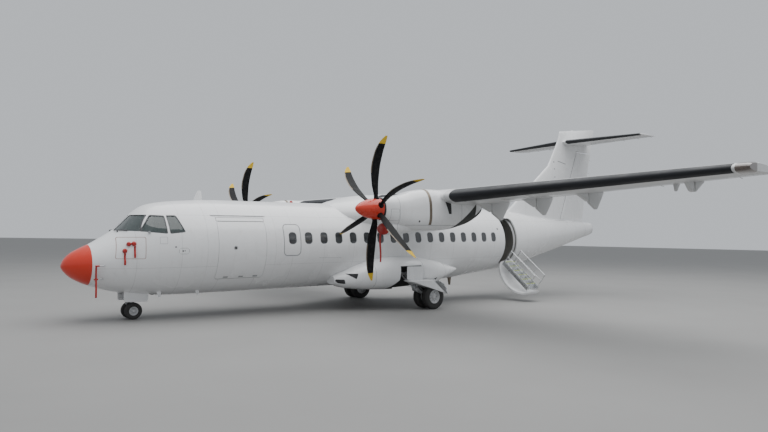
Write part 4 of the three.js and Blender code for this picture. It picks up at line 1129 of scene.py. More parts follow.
# %% Middle of the wing
FLAP_INNER = (1.52, 3.54)
FLAP_OUTER = (4.59, 9.14)
AILERON = (9.16, 11.96)
SADDLE = [
    Section(7.70, 0.50, 1.33, 0.80, 0.90),
    Section(8.03, 0.45, 1.44, 1.08, 0.94),
    Section(8.37, 0.30, 1.52, 1.23, 0.94),
    Section(8.70, 0.28, 1.60, 1.31, 0.93),
    Section(9.60, 0.25, 1.68, 1.35, 0.95),
    Section(11.0, 0.30, 1.56, 1.31, 0.95),
    Section(12.2, 0.80, 1.42, 0.90, 1.08),
    Section(13.0, 1.20, 1.352, 0.25, 1.25),
]
middle_wing = bmesh.new()
middle_loops = [foil_loop(middle_wing, wing, 1, out) for out in (-WING_BREAK, -2, 0, 2, WING_BREAK)]
skin_loops(middle_wing, middle_loops)
for side in BOTH_SIDES.values():
    middle_wing = combine(middle_wing, moving_room(wing, side, *FLAP_INNER))
saddle = hull_body(SADDLE, SADDLE[0].station, SADDLE[-1].station, step=0.2)
middle_wing = combine(middle_wing, saddle, "UNION")
fixed = []
for side in BOTH_SIDES.values():
    fixed += [hinge_blade(side, out, FIXED_BLADE) for out in BLADE_OUTS["inner"]]
fairing_white = enamel("fairing_white", WHITE, 0.3, grime=0.35)
piece("wing_middle", gather(middle_wing, *fixed), fairing_white, stands_for="wing_centre")

# %% [markdown]
# Each outer panel gets its tip rounded by squeezing the last few aerofoils, then rooms for the flap
# and the aileron are cut from its rear, and the moving parts are set into them with a gap at each end.

# %% Outer wings, flaps and ailerons
TIP_SHARES = [(12.00, 1.0), (12.16, 1.0), (12.22, 0.96), (12.26, 0.86), (12.285, 0.70)]
PANEL_OUTS = [(WING_BREAK + 0.0005, 1.0), (6.4, 1.0), (8.3, 1.0), (10.2, 1.0)] + TIP_SHARES
FLAP_END_GAP = 0.024
END_GAP = 0.008

for name, side in BOTH_SIDES.items():
    panel = foil_body(wing, side, PANEL_OUTS)
    panel = combine(panel, moving_room(wing, side, *FLAP_OUTER))
    panel = combine(panel, moving_room(wing, side, *AILERON))
    fixed = [hinge_blade(side, out, FIXED_BLADE) for out in BLADE_OUTS["outer"]]
    fixed.append(hinge_blade(side, BLADE_OUTS["aileron"], AILERON_FRONT))
    piece(f"wing_panel_{name}", gather(panel, *fixed), wing_grey, stands_for=f"wing_{name}")
    for place, span in (("inner", FLAP_INNER), ("outer", FLAP_OUTER)):
        node = f"flap_{place}_{name}"
        flap = moving_body(wing, side, span[0] + FLAP_END_GAP, span[1] - FLAP_END_GAP)
        swung = [hinge_blade(side, out, FLAP_BLADE) for out in BLADE_OUTS[place]]
        piece(f"{node}_skin", gather(flap, *swung), wing_grey, node, stands_for=node)
    node = f"aileron_{name}"
    aileron = moving_body(wing, side, AILERON[0] + END_GAP, AILERON[1] - END_GAP)
    swung = [
        hinge_blade(side, BLADE_OUTS["aileron"], AILERON_BLADE),
        hinge_blade(side, BLADE_OUTS["horn"], AILERON_HORN, 0.03),
    ]
    piece(f"{node}_skin", gather(aileron, *swung), wing_grey, node, stands_for=node)

# %% [markdown]
# ## De-icing boots
# Along the front of the wings and the tailplane runs a black rubber skin that is blown up to crack the
# ice. It is a glove over the nose of the aerofoil, a few millimetres proud. The rubber is nearly black
# and rather matt, and faint joints cross it at an even pitch.

# %% De-icing boots
BOOT_JOINTS = 0.62
boot_rubber = Finish("boot_rubber", (0.012, 0.013, 0.016), 0.5, Specular_IOR_Level=0.3)
boot_place = boot_rubber.airframe_place()
patchy = boot_rubber.noise(boot_place, 1.6, 5, 0.6)
boot_rubber.set("Base Color", boot_rubber.mix(patchy, (0.008, 0.009, 0.012, 1), (0.026, 0.028, 0.032, 1)))
boot_rubber.set("Roughness", boot_rubber.ramp(patchy, 0.3, 0.7, 0.42, 0.6))
boot_across = boot_rubber.split(boot_place)[1]
boot_grain = boot_rubber.noise(boot_place, 60, 2) * 0.3
boot_rubber.bump(boot_grain - joints_every(boot_across, BOOT_JOINTS, half=0.004), 0.15, 0.004)
BOOT_SHARE = 0.10
BOOT_LIFT = 0.004


def boot(surface, side, first, last):
    """A glove over the nose of a wing between two distances out."""
    middle = (first + last) / 2
    glove = foil_body(surface, side, [(first, 1.0), (middle, 1.0), (last, 1.0)], BOOT_LIFT)
    corners = []
    for out, f in ((first, -0.2), (last, -0.2), (last, BOOT_SHARE), (first, BOOT_SHARE)):
        row = row_at(surface, out)
        spread = 0.1 if out == last else -0.1
        corners.append((row.edge + row.chord * f, side * (out + spread)))
    return combine(glove, top_prism(corners, 0, 6), "INTERSECT")


for name, side in BOTH_SIDES.items():
    piece(f"wing_boot_{name}", boot(wing, side, 4.78, 11.96), boot_rubber)
    piece(f"inner_wing_boot_{name}", boot(wing, side, 1.35, 3.62), boot_rubber)
    piece(f"tail_boot_{name}", boot(tailplane, side, 0.24, 3.5), boot_rubber)

# %% [markdown]
# ## Tail
# The fin is drawn as sections at rising heights, swept back, with its lower front edge running into the
# roof of the tail cone. The rudder turns in a slot at its rear, about a hinge line that leans back.

# %% Fin and rudder
FinRow = namedtuple("FinRow", "height edge trail half")
FIN = [
    FinRow(0.82, 16.02, 21.79, 0.120),
    FinRow(2.58, 18.32, 22.13, 0.115),
    FinRow(3.36, 19.33, 22.29, 0.105),
    FinRow(4.40, 19.95, 22.59, 0.090),
]
FIN_SHAPE = [(0.0, 0.0), (0.015, 0.27), (0.07, 0.6), (0.25, 1.05), (0.55, 1.25), (1.0, 1.0)]
HINGE_FOOT = 20.085
HINGE_RAKE = 0.3955
RUDDER = (1.01, 4.08)
RUDDER_ROOM = (0.98, 4.135)
RUDDER_EDGE = 0.005
FIN_BENDS = (2.58, 3.36)
FIN_HEIGHTS = (0.82, 1.2, 1.8, 2.3, 2.58, 2.8, 3.1, 3.36, 3.7, 4.4)


def fin_at(height):
    """The fin's section at one height, on straight edges between the table's rows."""
    i = next(n for n in range(1, 4) if FIN[n].height >= height - 1e-9)
    share = (height - FIN[i - 1].height) / (FIN[i].height - FIN[i - 1].height)
    return FinRow(*(a + share * (b - a) for a, b in zip(FIN[i - 1], FIN[i])))


def rudder_hinge(height):
    return HINGE_FOOT + HINGE_RAKE * (height - FIN[0].height)


def rudder_room_start(height):
    """The front of the rudder's slot at one height."""
    return rudder_hinge(height) - fin_at(height).half - HINGE_GAP


def fin_loop(shape, height, squeeze=1.0):
    """One level section of the fin as a loop of vertices."""
    row = fin_at(height)
    hinge = rudder_hinge(height)
    loop = circle(shape, 64)
    for v in loop:
        x = row.edge + (row.trail - row.edge) * (1 + v.co.x) / 2
        if x <= hinge:
            y = row.half * eased(FIN_SHAPE, (x - row.edge) / (hinge - row.edge))[1]
        else:
            y = row.half + (RUDDER_EDGE - row.half) * (x - hinge) / (row.trail - hinge)
        v.co = (x, signed(y * squeeze, v.co.y), height)
    return loop


def rudder_body():
    """The rudder: round in front about its hinge line, with flat sides behind."""
    shape = bmesh.new()
    loops = []
    for height in (RUDDER[0], *FIN_BENDS, RUDDER[1]):
        row = fin_at(height)
        hinge = rudder_hinge(height)
        loop = circle(shape, 48)
        for v in loop:
            if v.co.x <= 1e-6:
                v.co = (hinge + row.half * v.co.x, row.half * v.co.y, height)
                continue
            share = share_aft(v.co.x)
            y = row.half + (RUDDER_EDGE - row.half) * share
            v.co = (hinge + (row.trail - hinge) * share, signed(y, v.co.y), height)
        loops.append(loop)
    return skin_loops(shape, loops)


def rudder_room():
    """The slot that is cut out of the fin for the rudder."""
    shape = bmesh.new()
    loops = []
    for height in (RUDDER_ROOM[0], *FIN_BENDS, RUDDER_ROOM[1]):
        corners = box_of(rudder_room_start(height), 23.5, 0.4, -0.4)
        loops.append(corner_loop(shape, [(x, y, height) for x, y in corners]))
    return skin_loops(shape, loops)


fin = bmesh.new()
skin_loops(fin, [fin_loop(fin, height) for height in FIN_HEIGHTS])
fin = combine(fin, rudder_room())
tail_white = enamel("tail_white", WHITE, 0.26, along=0.93, grime=0.3)
piece("fin_skin", fin, tail_white, stands_for="fin")
piece("rudder_skin", rudder_body(), tail_white, "rudder", stands_for="rudder")

# %% [markdown]
# A cap joins the top of the fin to the tailplane. It is one more body through sections, which slope
# forwards, and it is joined to the tailplane, whose tips are rounded as the wing's are.

# %% Cap, tailplane and elevators
CapRow = namedtuple("CapRow", "low lift edge trail half")
CAP = [
    CapRow(4.33, 0.0, 19.90, 22.57, 0.105),
    CapRow(4.64, 0.06, 20.08, 22.68, 0.110),
    CapRow(4.84, 0.21, 20.12, 22.74, 0.095),
    CapRow(4.93, 0.30, 20.15, 22.775, 0.072),
    CapRow(4.95, 0.325, 20.17, 22.78, 0.05),
]
CAP_SHAPE = [(0.0, 0.0), (0.02, 0.35), (0.10, 0.75), (0.35, 1.0), (0.70, 0.6), (1.0, 0.05)]


def cap_body():
    """The cap, from its table of sections."""
    shape = bmesh.new()
    loops = []
    for row in CAP:
        loop = circle(shape, 64)
        for v in loop:
            f = min(max((1 + v.co.x) / 2, 0), 1)
            y = signed(row.half * eased(CAP_SHAPE, f)[1], v.co.y)
            v.co = (row.edge + f * (row.trail - row.edge), y, row.low + row.lift * f)
        loops.append(loop)
    return skin_loops(shape, loops)


TAIL_SPAN = [(3.30, 1.0), (3.44, 0.93), (3.51, 0.76), (3.55, 0.5), (3.56, 0.36)]
ELEVATOR = (0.175, 3.465)
tail_outs = [(-out, squeeze) for out, squeeze in reversed(TAIL_SPAN)] + [(0.0, 1.0)] + TAIL_SPAN
plane = bmesh.new()
plane_loops = []
for out, squeeze in tail_outs:
    way = -1 if out < 0 else 1
    plane_loops.append(foil_loop(plane, tailplane, way, abs(out), squeeze))
plane = combine(skin_loops(plane, plane_loops), cap_body(), "UNION")
for side in BOTH_SIDES.values():
    plane = combine(plane, moving_room(tailplane, side, *ELEVATOR))
piece("tailplane_skin", plane, tail_white, stands_for="tailplane")
for name, side in BOTH_SIDES.items():
    node = f"elevator_{name}"
    elevator = moving_body(tailplane, side, ELEVATOR[0] + END_GAP, ELEVATOR[1] - END_GAP)
    piece(f"{node}_skin", elevator, wing_grey, node, stands_for=node)

# %% [markdown]
# ## Engines
# Each engine hangs ahead of the wing in a long cowling with a chin intake below its spinner. The cowling
# and the chin are two bodies through stations, joined into one, with the mouth of the intake and a hole
# for the shaft cut into it.

# %% Cowling
COWL_POWER = 0.75
COWL = [
    Section(7.00, 0.735, 1.340, 0.298, 1.030),
    Section(7.19, 0.655, 1.370, 0.345, 1.000),
    Section(7.38, 0.590, 1.400, 0.390, 0.970),
    Section(7.70, 0.500, 1.465, 0.440, 0.950),
    Section(8.00, 0.445, 1.560, 0.460, 0.940),
    Section(8.60, 0.440, 1.632, 0.470, 0.940),
    Section(9.20, 0.475, 1.625, 0.470, 0.950),
    Section(9.98, 0.640, 1.560, 0.430, 1.030),
    Section(10.40, 0.820, 1.480, 0.350, 1.100),
    Section(10.65, 0.970, 1.420, 0.250, 1.160),
    Section(10.76, 1.110, 1.380, 0.150, 1.210),
]
CHIN = [
    Section(7.13, 0.365, 0.650, 0.235, 0.505),
    Section(7.30, 0.350, 0.740, 0.262, 0.540),
    Section(8.30, 0.430, 0.900, 0.300, 0.660),
]
MOUTH = Section(7.12, 0.400, 0.615, 0.195, 0.507)
MOUTH_DEEP = 0.13
PROPELLER_OUT = 4.05
SHAFT_HEIGHT = 1.035
HUB_STATION = 6.85


def across_by(rows, across, power=1.0):
    """A table of sections moved across, with its circles pushed towards boxes by a power."""
    return [row._replace(across=across, power=power) for row in rows]


def cowling_body(across, lift=0.0):
    """The whole outside of one cowling, moved out by a lift."""
    cowl = hull_body(across_by(COWL, across, COWL_POWER), COWL[0].station, COWL[-1].station, lift, 0.12)
    chin = hull_body(across_by(CHIN, across), CHIN[0].station, CHIN[-1].station, lift, 0.08, 72)
    return combine(cowl, chin, "UNION")


def patch_on(body_at, place, tool, lift=0.002):
    """A curved sheet on a cowling or a gear fairing, where a tool meets it."""
    outer = combine(body_at(place, lift), tool, "INTERSECT")
    return combine(outer, body_at(place, lift - 0.01))


for name, side in BOTH_SIDES.items():
    across = side * PROPELLER_OUT
    mouth = across_by([MOUTH, MOUTH._replace(station=MOUTH.station + MOUTH_DEEP)], across)
    cowling = combine(cowling_body(across), hull_body(mouth, 7.12, 7.25, 0, 0.2, 48), lined=True)
    shaft_hole = turned([(6.9, 0), (6.9, 0.095), (7.3, 0.095), (7.3, 0)], 40, (0, across, SHAFT_HEIGHT))
    cowling = combine(cowling, shaft_hole, lined=True)
    node = f"nacelle_{name}"
    piece(f"cowling_{name}", cowling, nacelle_white, stands_for=node, lining=bay_lining)
    dress_node(f"engine_{name}", alloy_grey)

# %% [markdown]
# Joints, a bronze-coloured strip, small access panels, a louvre and a drain break up the cowling's sides,
# and a dark crescent at the rear lower edge is painted shade mixed with exhaust soot. Each is a very thin
# patch of the same surface.

# %% Cowling joints and panels
bronze_strip = Finish("bronze_strip", (0.20, 0.165, 0.125), 0.45, 0.55)
bronze_strip.wander((0.15, 0.125, 0.10), (0.27, 0.225, 0.17), 9, 4)
COWL_LINES = [
    (7.395, 7.402, -1, 3, seal_grey, "front_joint"),
    (8.375, 8.470, 0.615, 3, bronze_strip, "bronze_strip"),
    (7.62, 10.0, 0.600, 0.609, seal_grey, "door_joint"),
    (9.62, 9.627, -1, 3, seal_grey, "rear_joint"),
]
FRONT_RING = [(6.962, 0.10), (6.962, 0.290), (6.999, 0.296), (6.999, 0.10), (6.962, 0.10)]
COWL_PANELS = [box_of(7.135, 7.375, 0.72, 1.035), box_of(7.135, 7.375, 0.95, 1.035)]
LOUVRE = [(8.98, 1.27), (9.19, 1.27), (9.20, 0.93), (9.10, 0.93)]
DRAIN = box_of(8.000, 8.056, 0.682, 0.738)
# The crescent outlines painted shade and exhaust soot along the cowling's rear lower edge.
SHADE_AND_SOOT_CRESCENT = [(10.30, 1.25), (10.9, 1.3), (10.9, 0.3), (9.3, 0.3), (9.3, 0.50), (9.9, 0.66), (10.25, 0.90)]

for name, side in BOTH_SIDES.items():
    across = side * PROPELLER_OUT
    for first, last, low, high, finish, label in COWL_LINES:
        strip = patch_on(cowling_body, across, block(first, last, across - 1, across + 1, low, high))
        piece(f"cowling_{label}_{name}", strip, finish)
    ring = turned(FRONT_RING, 64, (0, across, SHAFT_HEIGHT))
    piece(f"cowling_front_ring_{name}", ring, dark_gap)
    for way, label in ((-1, "port"), (1, "starboard")):
        for number, corners in enumerate(COWL_PANELS):
            rim = combine(
                side_prism(corners, across, across + way, 0.012),
                side_prism(grown(corners, -0.006), across - way, across + 2 * way, 0.008),
            )
            rim = patch_on(cowling_body, across, rim, 0.0012)
            piece(f"cowling_panel_{number + 1}_{label}_{name}", rim, seal_grey)
        louvre = patch_on(cowling_body, across, side_prism(LOUVRE, across, across + way, 0.01), 0.0015)
        piece(f"cowling_louvre_{label}_{name}", louvre, dark_gap)
        drain = patch_on(cowling_body, across, side_prism(DRAIN, across, across + way, 0.027))
        piece(f"cowling_drain_{label}_{name}", drain, dark_gap)
    # A dark patch of painted shade, with real exhaust soot, on the rear lower side of each cowling.
    tail_shade_and_soot = patch_on(cowling_body, across, side_prism(SHADE_AND_SOOT_CRESCENT, across - 1, across + 1))
    piece(f"cowling_tail_shade_and_soot_{name}", tail_shade_and_soot, bay_lining)

# %% [markdown]
# On the ground a padded red plug keeps birds and leaves out of each intake. It is a cushion through a few
# sections, a little larger than the mouth that it closes.

# %% Intake plugs
red_vinyl = Finish("red_vinyl", (0.55, 0.03, 0.025), 0.45, slot="red_paint")
# The same noise bumps the creases and darkens the red in them: that darkening is painted shade.
creases_and_shade = red_vinyl.wander((0.30, 0.012, 0.012), (0.52, 0.03, 0.02), 14, 5, 0.6)
red_vinyl.bump(creases_and_shade, 0.4, 0.01)
PLUG = [
    Section(7.035, 0.425, 0.575, 0.13, 0.500),
    Section(7.045, 0.390, 0.615, 0.175, 0.502),
    Section(7.075, 0.355, 0.650, 0.222, 0.503),
    Section(7.115, 0.340, 0.662, 0.242, 0.505),
    Section(7.145, 0.345, 0.665, 0.245, 0.506),
]
for name, side in BOTH_SIDES.items():
    rows = across_by(PLUG, side * PROPELLER_OUT)
    plug = hull_body(rows, PLUG[0].station, PLUG[-1].station, 0.0, 0.012, 48)
    plug = piece(f"intake_plug_{name}", softened(plug, 0.006), red_vinyl)

# %% [markdown]
# ## Propellers
# Each propeller has six blades of black composite, curved back like a sabre towards a yellow tip. A blade
# is a row of thin ellipses that are turned and shifted as they go out. The blades stand feathered,
# almost edge on to the wind. Their yellow starts at a distance from the shaft, so the finish works
# that distance out.

# %% Blade table and finishes
BladeRow = namedtuple("BladeRow", "radius chord aft thick pitch lean")
BLADE = [
    BladeRow(0.120, 0.104, 0.000, 0.096, 92, 0.000),
    BladeRow(0.330, 0.150, 0.000, 0.074, 100, 0.030),
    BladeRow(0.660, 0.240, -0.050, 0.042, 96, 0.065),
    BladeRow(1.080, 0.285, -0.075, 0.025, 90, 0.083),
    BladeRow(1.480, 0.262, -0.035, 0.017, 85, 0.068),
    BladeRow(1.800, 0.185, 0.050, 0.012, 82, 0.030),
    BladeRow(1.965, 0.060, 0.125, 0.006, 80, 0.000),
]
FIRST_BLADE = -0.168
BLADE_ANGLES = [FIRST_BLADE + math.radians(60) * n for n in range(6)]
SPINNER_BASE = HUB_STATION + 0.095
SPINNER_LONG = 0.745
SPINNER_RADIUS = 0.285
TIP_YELLOW_FROM = 1.745

blade_black = Finish("blade_black", (0.012, 0.0125, 0.0135), 0.55, slot="blade_black")
blade_black.set("Specular IOR Level", 0.12)
_, blade_across, blade_high = blade_black.split(blade_black.airframe_place())
beside = (blade_across.maths("ABSOLUTE") - PROPELLER_OUT).maths("POWER", 2)
above = (blade_high - SHAFT_HEIGHT).maths("POWER", 2)
from_shaft = (beside + above).maths("SQRT")
dust = blade_black.noise(blade_black.place(), 11, 5, 0.65)
dusted = blade_black.ramp(dust, 0.45, 0.85)
black_now = blade_black.mix(dusted, (0.008, 0.0085, 0.0095, 1), (0.04, 0.039, 0.036, 1))
yellow_now = blade_black.mix(dust, (0.62, 0.40, 0.03, 1), (0.78, 0.54, 0.06, 1))
blade_black.set("Base Color", blade_black.mix(from_shaft > TIP_YELLOW_FROM, black_now, yellow_now))
blade_black.set("Roughness", blade_black.ramp(dust, 0.3, 0.8, 0.48, 0.7))

spinner_red = Finish("spinner_red", (0.66, 0.035, 0.012), 0.3, slot="red_paint", Coat_Weight=0.3)
spinner_red.set("Coat Roughness", 0.1)
fade = spinner_red.wander((0.58, 0.028, 0.01), (0.72, 0.05, 0.018), 6, 4)
spinner_red.set("Roughness", spinner_red.ramp(fade, 0.3, 0.7, 0.24, 0.38))

# %% [markdown]
# The blades come out of a pointed red spinner through round openings, one for each. A thin metal sheath
# guards the front edge of their outer half: it is the front tenth of the same blade, slightly thicker.

# %% Spinner, blades and sheaths


def blade_body(angle, hub, first=BLADE[0].radius, last=BLADE[-1].radius, front=1.0, proud=1.0):
    """One blade, or a sheath over the front share of it, turned about the shaft to its place."""
    shape = bmesh.new()
    loops = []
    for radius in stations_of(BLADE, first, last, 0.09):
        row = eased(BLADE, radius)
        pitch = math.radians(row.pitch - 90)
        loop = circle(shape, 24)
        for v in loop:
            share = -1 + (v.co.x + 1) * front
            along = share * row.chord / 2 * proud
            bulge = math.sqrt(max(1 - share**2, 0))
            over = signed(bulge, v.co.y) * row.thick / 2 * proud
            x = row.aft + along * math.cos(pitch) - over * math.sin(pitch)
            y = row.lean + along * math.sin(pitch) + over * math.cos(pitch)
            v.co = (x, y, radius)
        loops.append(loop)
    place = Matrix.Translation(hub) @ Matrix.Rotation(-angle, 4, "X")
    return moved(skin_loops(shape, loops), place)


def rod(start, end, radius, sides=16):
    """A round bar between two points."""
    return pipe([start, end], radius, sides)


SPINNER_SHARES = (0, 0.1, 0.2, 0.3, 0.4, 0.5, 0.6, 0.7, 0.8, 0.87, 0.93, 0.97, 0.99, 1.0)
CUFF = [(0.10, 0), (0.10, 0.075), (0.285, 0.075), (0.30, 0.066), (0.30, 0)]
SHAFT = [(-0.15, 0), (-0.15, 0.17), (0.07, 0.17), (0.07, 0.075), (0.43, 0.075), (0.43, 0)]
curve = [(share * SPINNER_LONG, SPINNER_RADIUS * (1 - share**2) ** 0.62) for share in SPINNER_SHARES]
profile = [(-0.012, 0), (-0.012, SPINNER_RADIUS - 0.004), *curve]
outwards = [Matrix.Rotation(-angle, 3, "X") for angle in BLADE_ANGLES]
for name, side in BOTH_SIDES.items():
    hub = Vector((HUB_STATION, side * PROPELLER_OUT, SHAFT_HEIGHT))
    spinner = turned(profile, 64, (SPINNER_BASE, hub.y, hub.z), (-1, 0, 0))
    for turn in outwards:
        tip = turn @ Vector((0, 0, 0.42))
        spinner = combine(spinner, rod(hub + tip * 0.3, hub + tip, 0.088, 24))
    piece(f"spinner_shell_{name}", spinner, spinner_red, f"propeller_{name}", f"spinner_{name}")
    cuffs = [turned(CUFF, 24, hub, turn @ Vector((0, 0, 1))) for turn in outwards]
    shaft = turned(SHAFT, 32, hub)
    blades = gather(shaft, *cuffs, *[blade_body(angle, hub) for angle in BLADE_ANGLES])
    piece(f"blades_{name}", blades, blade_black, f"propeller_{name}", f"propeller_{name}")
    sheaths = [blade_body(angle, hub, 0.95, 1.72, 0.10, 1.03) for angle in BLADE_ANGLES]
    piece(f"blade_sheaths_{name}", gather(*sheaths), bronze_strip, f"propeller_{name}")

# %% [markdown]
# ## Main gear fairings
# The main wheels fold into two long fairings low on the cabin's sides. Their sections are between an
# ellipse and a box, so each vertex of a circle is pushed a little towards the corners. Bays for the
# wheels and a slot for the leg are cut out, and small scoops feed the air conditioning.

# %% Main gear fairings
FairingRow = namedtuple("FairingRow", "station bottom top inner outer")
FAIRING = [
    FairingRow(7.40, -1.210, -0.960, 0.750, 1.190),
    FairingRow(7.70, -1.320, -0.830, 0.550, 1.400),
    FairingRow(8.10, -1.385, -0.650, 0.400, 1.640),
    FairingRow(8.70, -1.430, -0.470, 0.350, 1.860),
    FairingRow(9.40, -1.450, -0.395, 0.350, 1.950),
    FairingRow(10.30, -1.430, -0.410, 0.350, 1.930),
    FairingRow(11.30, -1.320, -0.540, 0.400, 1.760),
    FairingRow(12.00, -1.120, -0.720, 0.600, 1.540),
    FairingRow(12.40, -0.960, -0.830, 0.900, 1.380),
]
BOXY = 0.8
WHEEL_BAY = (9.45, 11.15, 1.00, 1.76, -0.90)
LEG_SLOT = [(9.05, -3.0), (9.05, -1.43), (9.40, -1.12), (9.45, -0.68), (10.34, -0.68), (10.34, -3.0)]
SCOOP = [(7.71, -0.88), (8.03, -0.88), (7.97, -1.05)]
INLET = [(7.41, -1.10), (7.44, -1.05), (7.66, -1.06), (7.69, -1.20), (7.50, -1.17)]
FAIRING_JOINTS_AT = (8.55, 10.42, 11.6)


def fairing_body(side, lift=0.0):
    """The whole outside of one fairing, moved out by a lift."""
    shape = bmesh.new()
    loops = []
    for at in stations_of(FAIRING, FAIRING[0].station, FAIRING[-1].station, 0.12):
        row = eased(FAIRING, at)
        loop = circle(shape, 64)
        for v in loop:
            across, rise = squared(v.co.x, BOXY), squared(v.co.y, BOXY)
            y = (row.inner + row.outer) / 2 + ((row.outer - row.inner) / 2 + lift) * across
            z = (row.bottom + row.top) / 2 + ((row.top - row.bottom) / 2 + lift) * rise
            v.co = (row.station, side * y, z)
        loops.append(loop)
    return skin_loops(shape, loops)


for name, side in BOTH_SIDES.items():
    first, last, inner, outer, roof = WHEEL_BAY
    bay = block(first, last, *sorted((side * inner, side * outer)), -3, roof)
    body = combine(fairing_body(side), bay, lined=True)
    body = combine(body, side_prism(LEG_SLOT, side * 1.46, side * 2.30), lined=True)
    node = f"sponson_{name}"
    piece(f"gear_fairing_{name}", body, fairing_white, stands_for=node, lining=bay_lining)
    for label, corners in (("scoop", SCOOP), ("slot", INLET)):
        dark = patch_on(fairing_body, side, side_prism(corners, side * 1.0, side * OUTSIDE, 0.02))
        piece(f"fairing_{label}_{name}", dark, dark_gap)
    joint_tool = gather(*[block(x, x + 0.007, -CLEAR, CLEAR, -CLEAR, 0) for x in FAIRING_JOINTS_AT])
    piece(f"fairing_joints_{name}", patch_on(fairing_body, side, joint_tool, 0.001), seal_grey)

# %% [markdown]
# ## Wheels
# A tyre is a profile spun round the axle, with a soft shoulder and four grooves round its tread. Each
# hub is spun too, and then holes are cut through its web for the brakes' air. Tyre rubber is matt, with
# a scrubbed grey mottle all over.

# %% Tyres and hubs
TyreSize = namedtuple("TyreSize", "radius width rim pair")
MAIN_TYRE = TyreSize(0.405, 0.22, 0.215, 0.43)
NOSE_TYRE = TyreSize(0.225, 0.15, 0.115, 0.33)
TYRE_FLAT = math.cos(math.pi / 24)
MAIN_AXLE = Vector((10.53, 2.05, MAIN_TYRE.radius * TYRE_FLAT))
NOSE_AXLE = Vector((1.752, 0, NOSE_TYRE.radius * TYRE_FLAT))

tyre_rubber = Finish("tyre_rubber", (0.022, 0.022, 0.023), 0.8, slot="rubber")
scrub = tyre_rubber.wander((0.013, 0.013, 0.014), (0.055, 0.053, 0.050), 30, 5, 0.65)
tyre_rubber.bump(scrub, 0.3, 0.004)
hub_paint = Finish("hub_paint", (0.55, 0.56, 0.57), 0.42, 0.15, slot="gear_metal")
hub_paint.wander((0.36, 0.36, 0.36), (0.68, 0.69, 0.70), 18, 5, 0.6)


def tyre_body(size, centre):
    """A tyre about an axle that runs across, with grooves round its tread."""
    radius, half = size.radius * TYRE_FLAT, size.width / 2
    wall = radius - size.rim
    groove = 0.035 * size.width / 0.22
    side_wall = [
        (half * 0.80, size.rim + 0.002), (half * 0.90, size.rim + 0.012),
        (half * 0.985, size.rim + wall * 0.42), (half, size.rim + wall * 0.60),
        (half * 0.95, size.rim + wall * 0.80), (half * 0.80, radius * 0.975),
        (half * 0.62, radius * 0.995),
    ]
    tread = []
    for middle in (groove * 1.45, groove * 0.5):
        width = groove * 0.14
        floor_radius = radius - 0.008
        tread += [(middle + width, radius), (middle + width, floor_radius)]
        tread += [(middle - width, floor_radius), (middle - width, radius)]
    outer = side_wall + tread
    mirrored = [(-x, r) for x, r in reversed(outer)]
    return turned(outer + mirrored + [outer[0]], 72, centre, (0, 1, 0))


HUB_HOLES = 9


def hub_body(size, centre, way):
    """One wheel: a rim with a dished web, a cap, a ring of holes and a ring of bolts."""
    rim, half = size.rim, size.width / 2
    profile = [
        (-half * 0.80, 0), (-half * 0.80, rim), (half * 0.86, rim), (half * 0.90, rim - 0.012),
        (half * 0.72, rim - 0.026), (half * 0.40, rim * 0.74), (half * 0.34, rim * 0.50),
        (half * 0.52, rim * 0.36), (half * 0.72, rim * 0.30), (half * 0.80, rim * 0.24), (half * 0.80, 0),
    ]
    wheel = turned(profile, 64, centre, (0, way, 0))
    drills, bolts = [], []
    for n in range(HUB_HOLES):
        angle = 2 * math.pi * n / HUB_HOLES
        spoke = Vector((math.cos(angle), 0, math.sin(angle)))
        at = centre + spoke * rim * 0.63
        start, end = at - Vector((0, half * 0.2, 0)) * way, at + Vector((0, half, 0)) * way
        drills.append(rod(start, end, rim * 0.105, 16))
        bolt = centre + spoke * rim * 0.86 + Vector((0, half * 0.5, 0)) * way
        bolts.append(rod(bolt, bolt + Vector((0, half * 0.16, 0)) * way, rim * 0.035, 6))
    return gather(combine(wheel, gather(*drills)), *bolts)


def wheel_pair(size, middle, tyres, hubs, body):
    """Two tyres, and their hubs on one axle."""
    made = []
    for (name, node), way in zip(tyres.items(), (-1, 1)):
        centre = middle + Vector((0, way * size.pair / 2, 0))
        piece(name, tyre_body(size, centre), tyre_rubber, body, node, GROUND)
        made.append(hub_body(size, centre, way))
    reach = Vector((0, size.pair / 2, 0))
    made.append(rod(middle - reach, middle + reach, size.rim * 0.18, 24))
    piece(hubs[0], gather(*made), hub_paint, body, hubs[1], GROUND)


for name, side in BOTH_SIDES.items():
    port, starboard = ("outer", "inner") if side < 0 else ("inner", "outer")
    tyres = {f"tyre_{place}_{name}": f"main_tyre_{place}_{name}" for place in (port, starboard)}
    middle = Vector((MAIN_AXLE.x, side * MAIN_AXLE.y, MAIN_AXLE.z))
    wheel_pair(MAIN_TYRE, middle, tyres, (f"hubs_{name}", f"main_hubs_{name}"), f"main_wheels_{name}")
nose_tyres = {"front_tyre_left": "nose_tyre_left", "front_tyre_right": "nose_tyre_right"}
wheel_pair(NOSE_TYRE, NOSE_AXLE, nose_tyres, ("front_hubs", "nose_hubs"), "nose_wheels")

# %% [markdown]
# ## Main legs and their doors
# Each main leg is a strut from the bay roof to a knee, a trailing arm back to the axle, and an oil and
# gas shock strut above it. A flat door covers the slot when the leg is up, and a curved one covers the
# wheels. They stay bolted to the leg, so they stand out beside it when the leg is down.

# %% Main legs
gear_grey = Finish("gear_grey", (0.34, 0.35, 0.36), 0.42, 0.2, slot="gear_metal")
oil = gear_grey.ramp(gear_grey.noise(gear_grey.place(), 16, 6, 0.6), 0.35, 0.75)
gear_grey.set("Base Color", gear_grey.mix(oil, (0.42, 0.43, 0.44, 1), (0.16, 0.155, 0.15, 1)))
chrome = Finish("chrome_piston", (0.72, 0.72, 0.73), 0.12, 1.0, slot="gear_metal")
wipe = chrome.noise(chrome.place(), 50, 2)
chrome.set("Roughness", chrome.ramp(wipe, 0.3, 0.7, 0.08, 0.22))


def between(start, end, share):
    """The point at a share of the way from one point to another."""
    return Vector(start).lerp(Vector(end), share)


def on_side(side):
    """Gives back a function that puts a point on one side of the aircraft."""
    return lambda x, y, z: Vector((x, side * y, z))


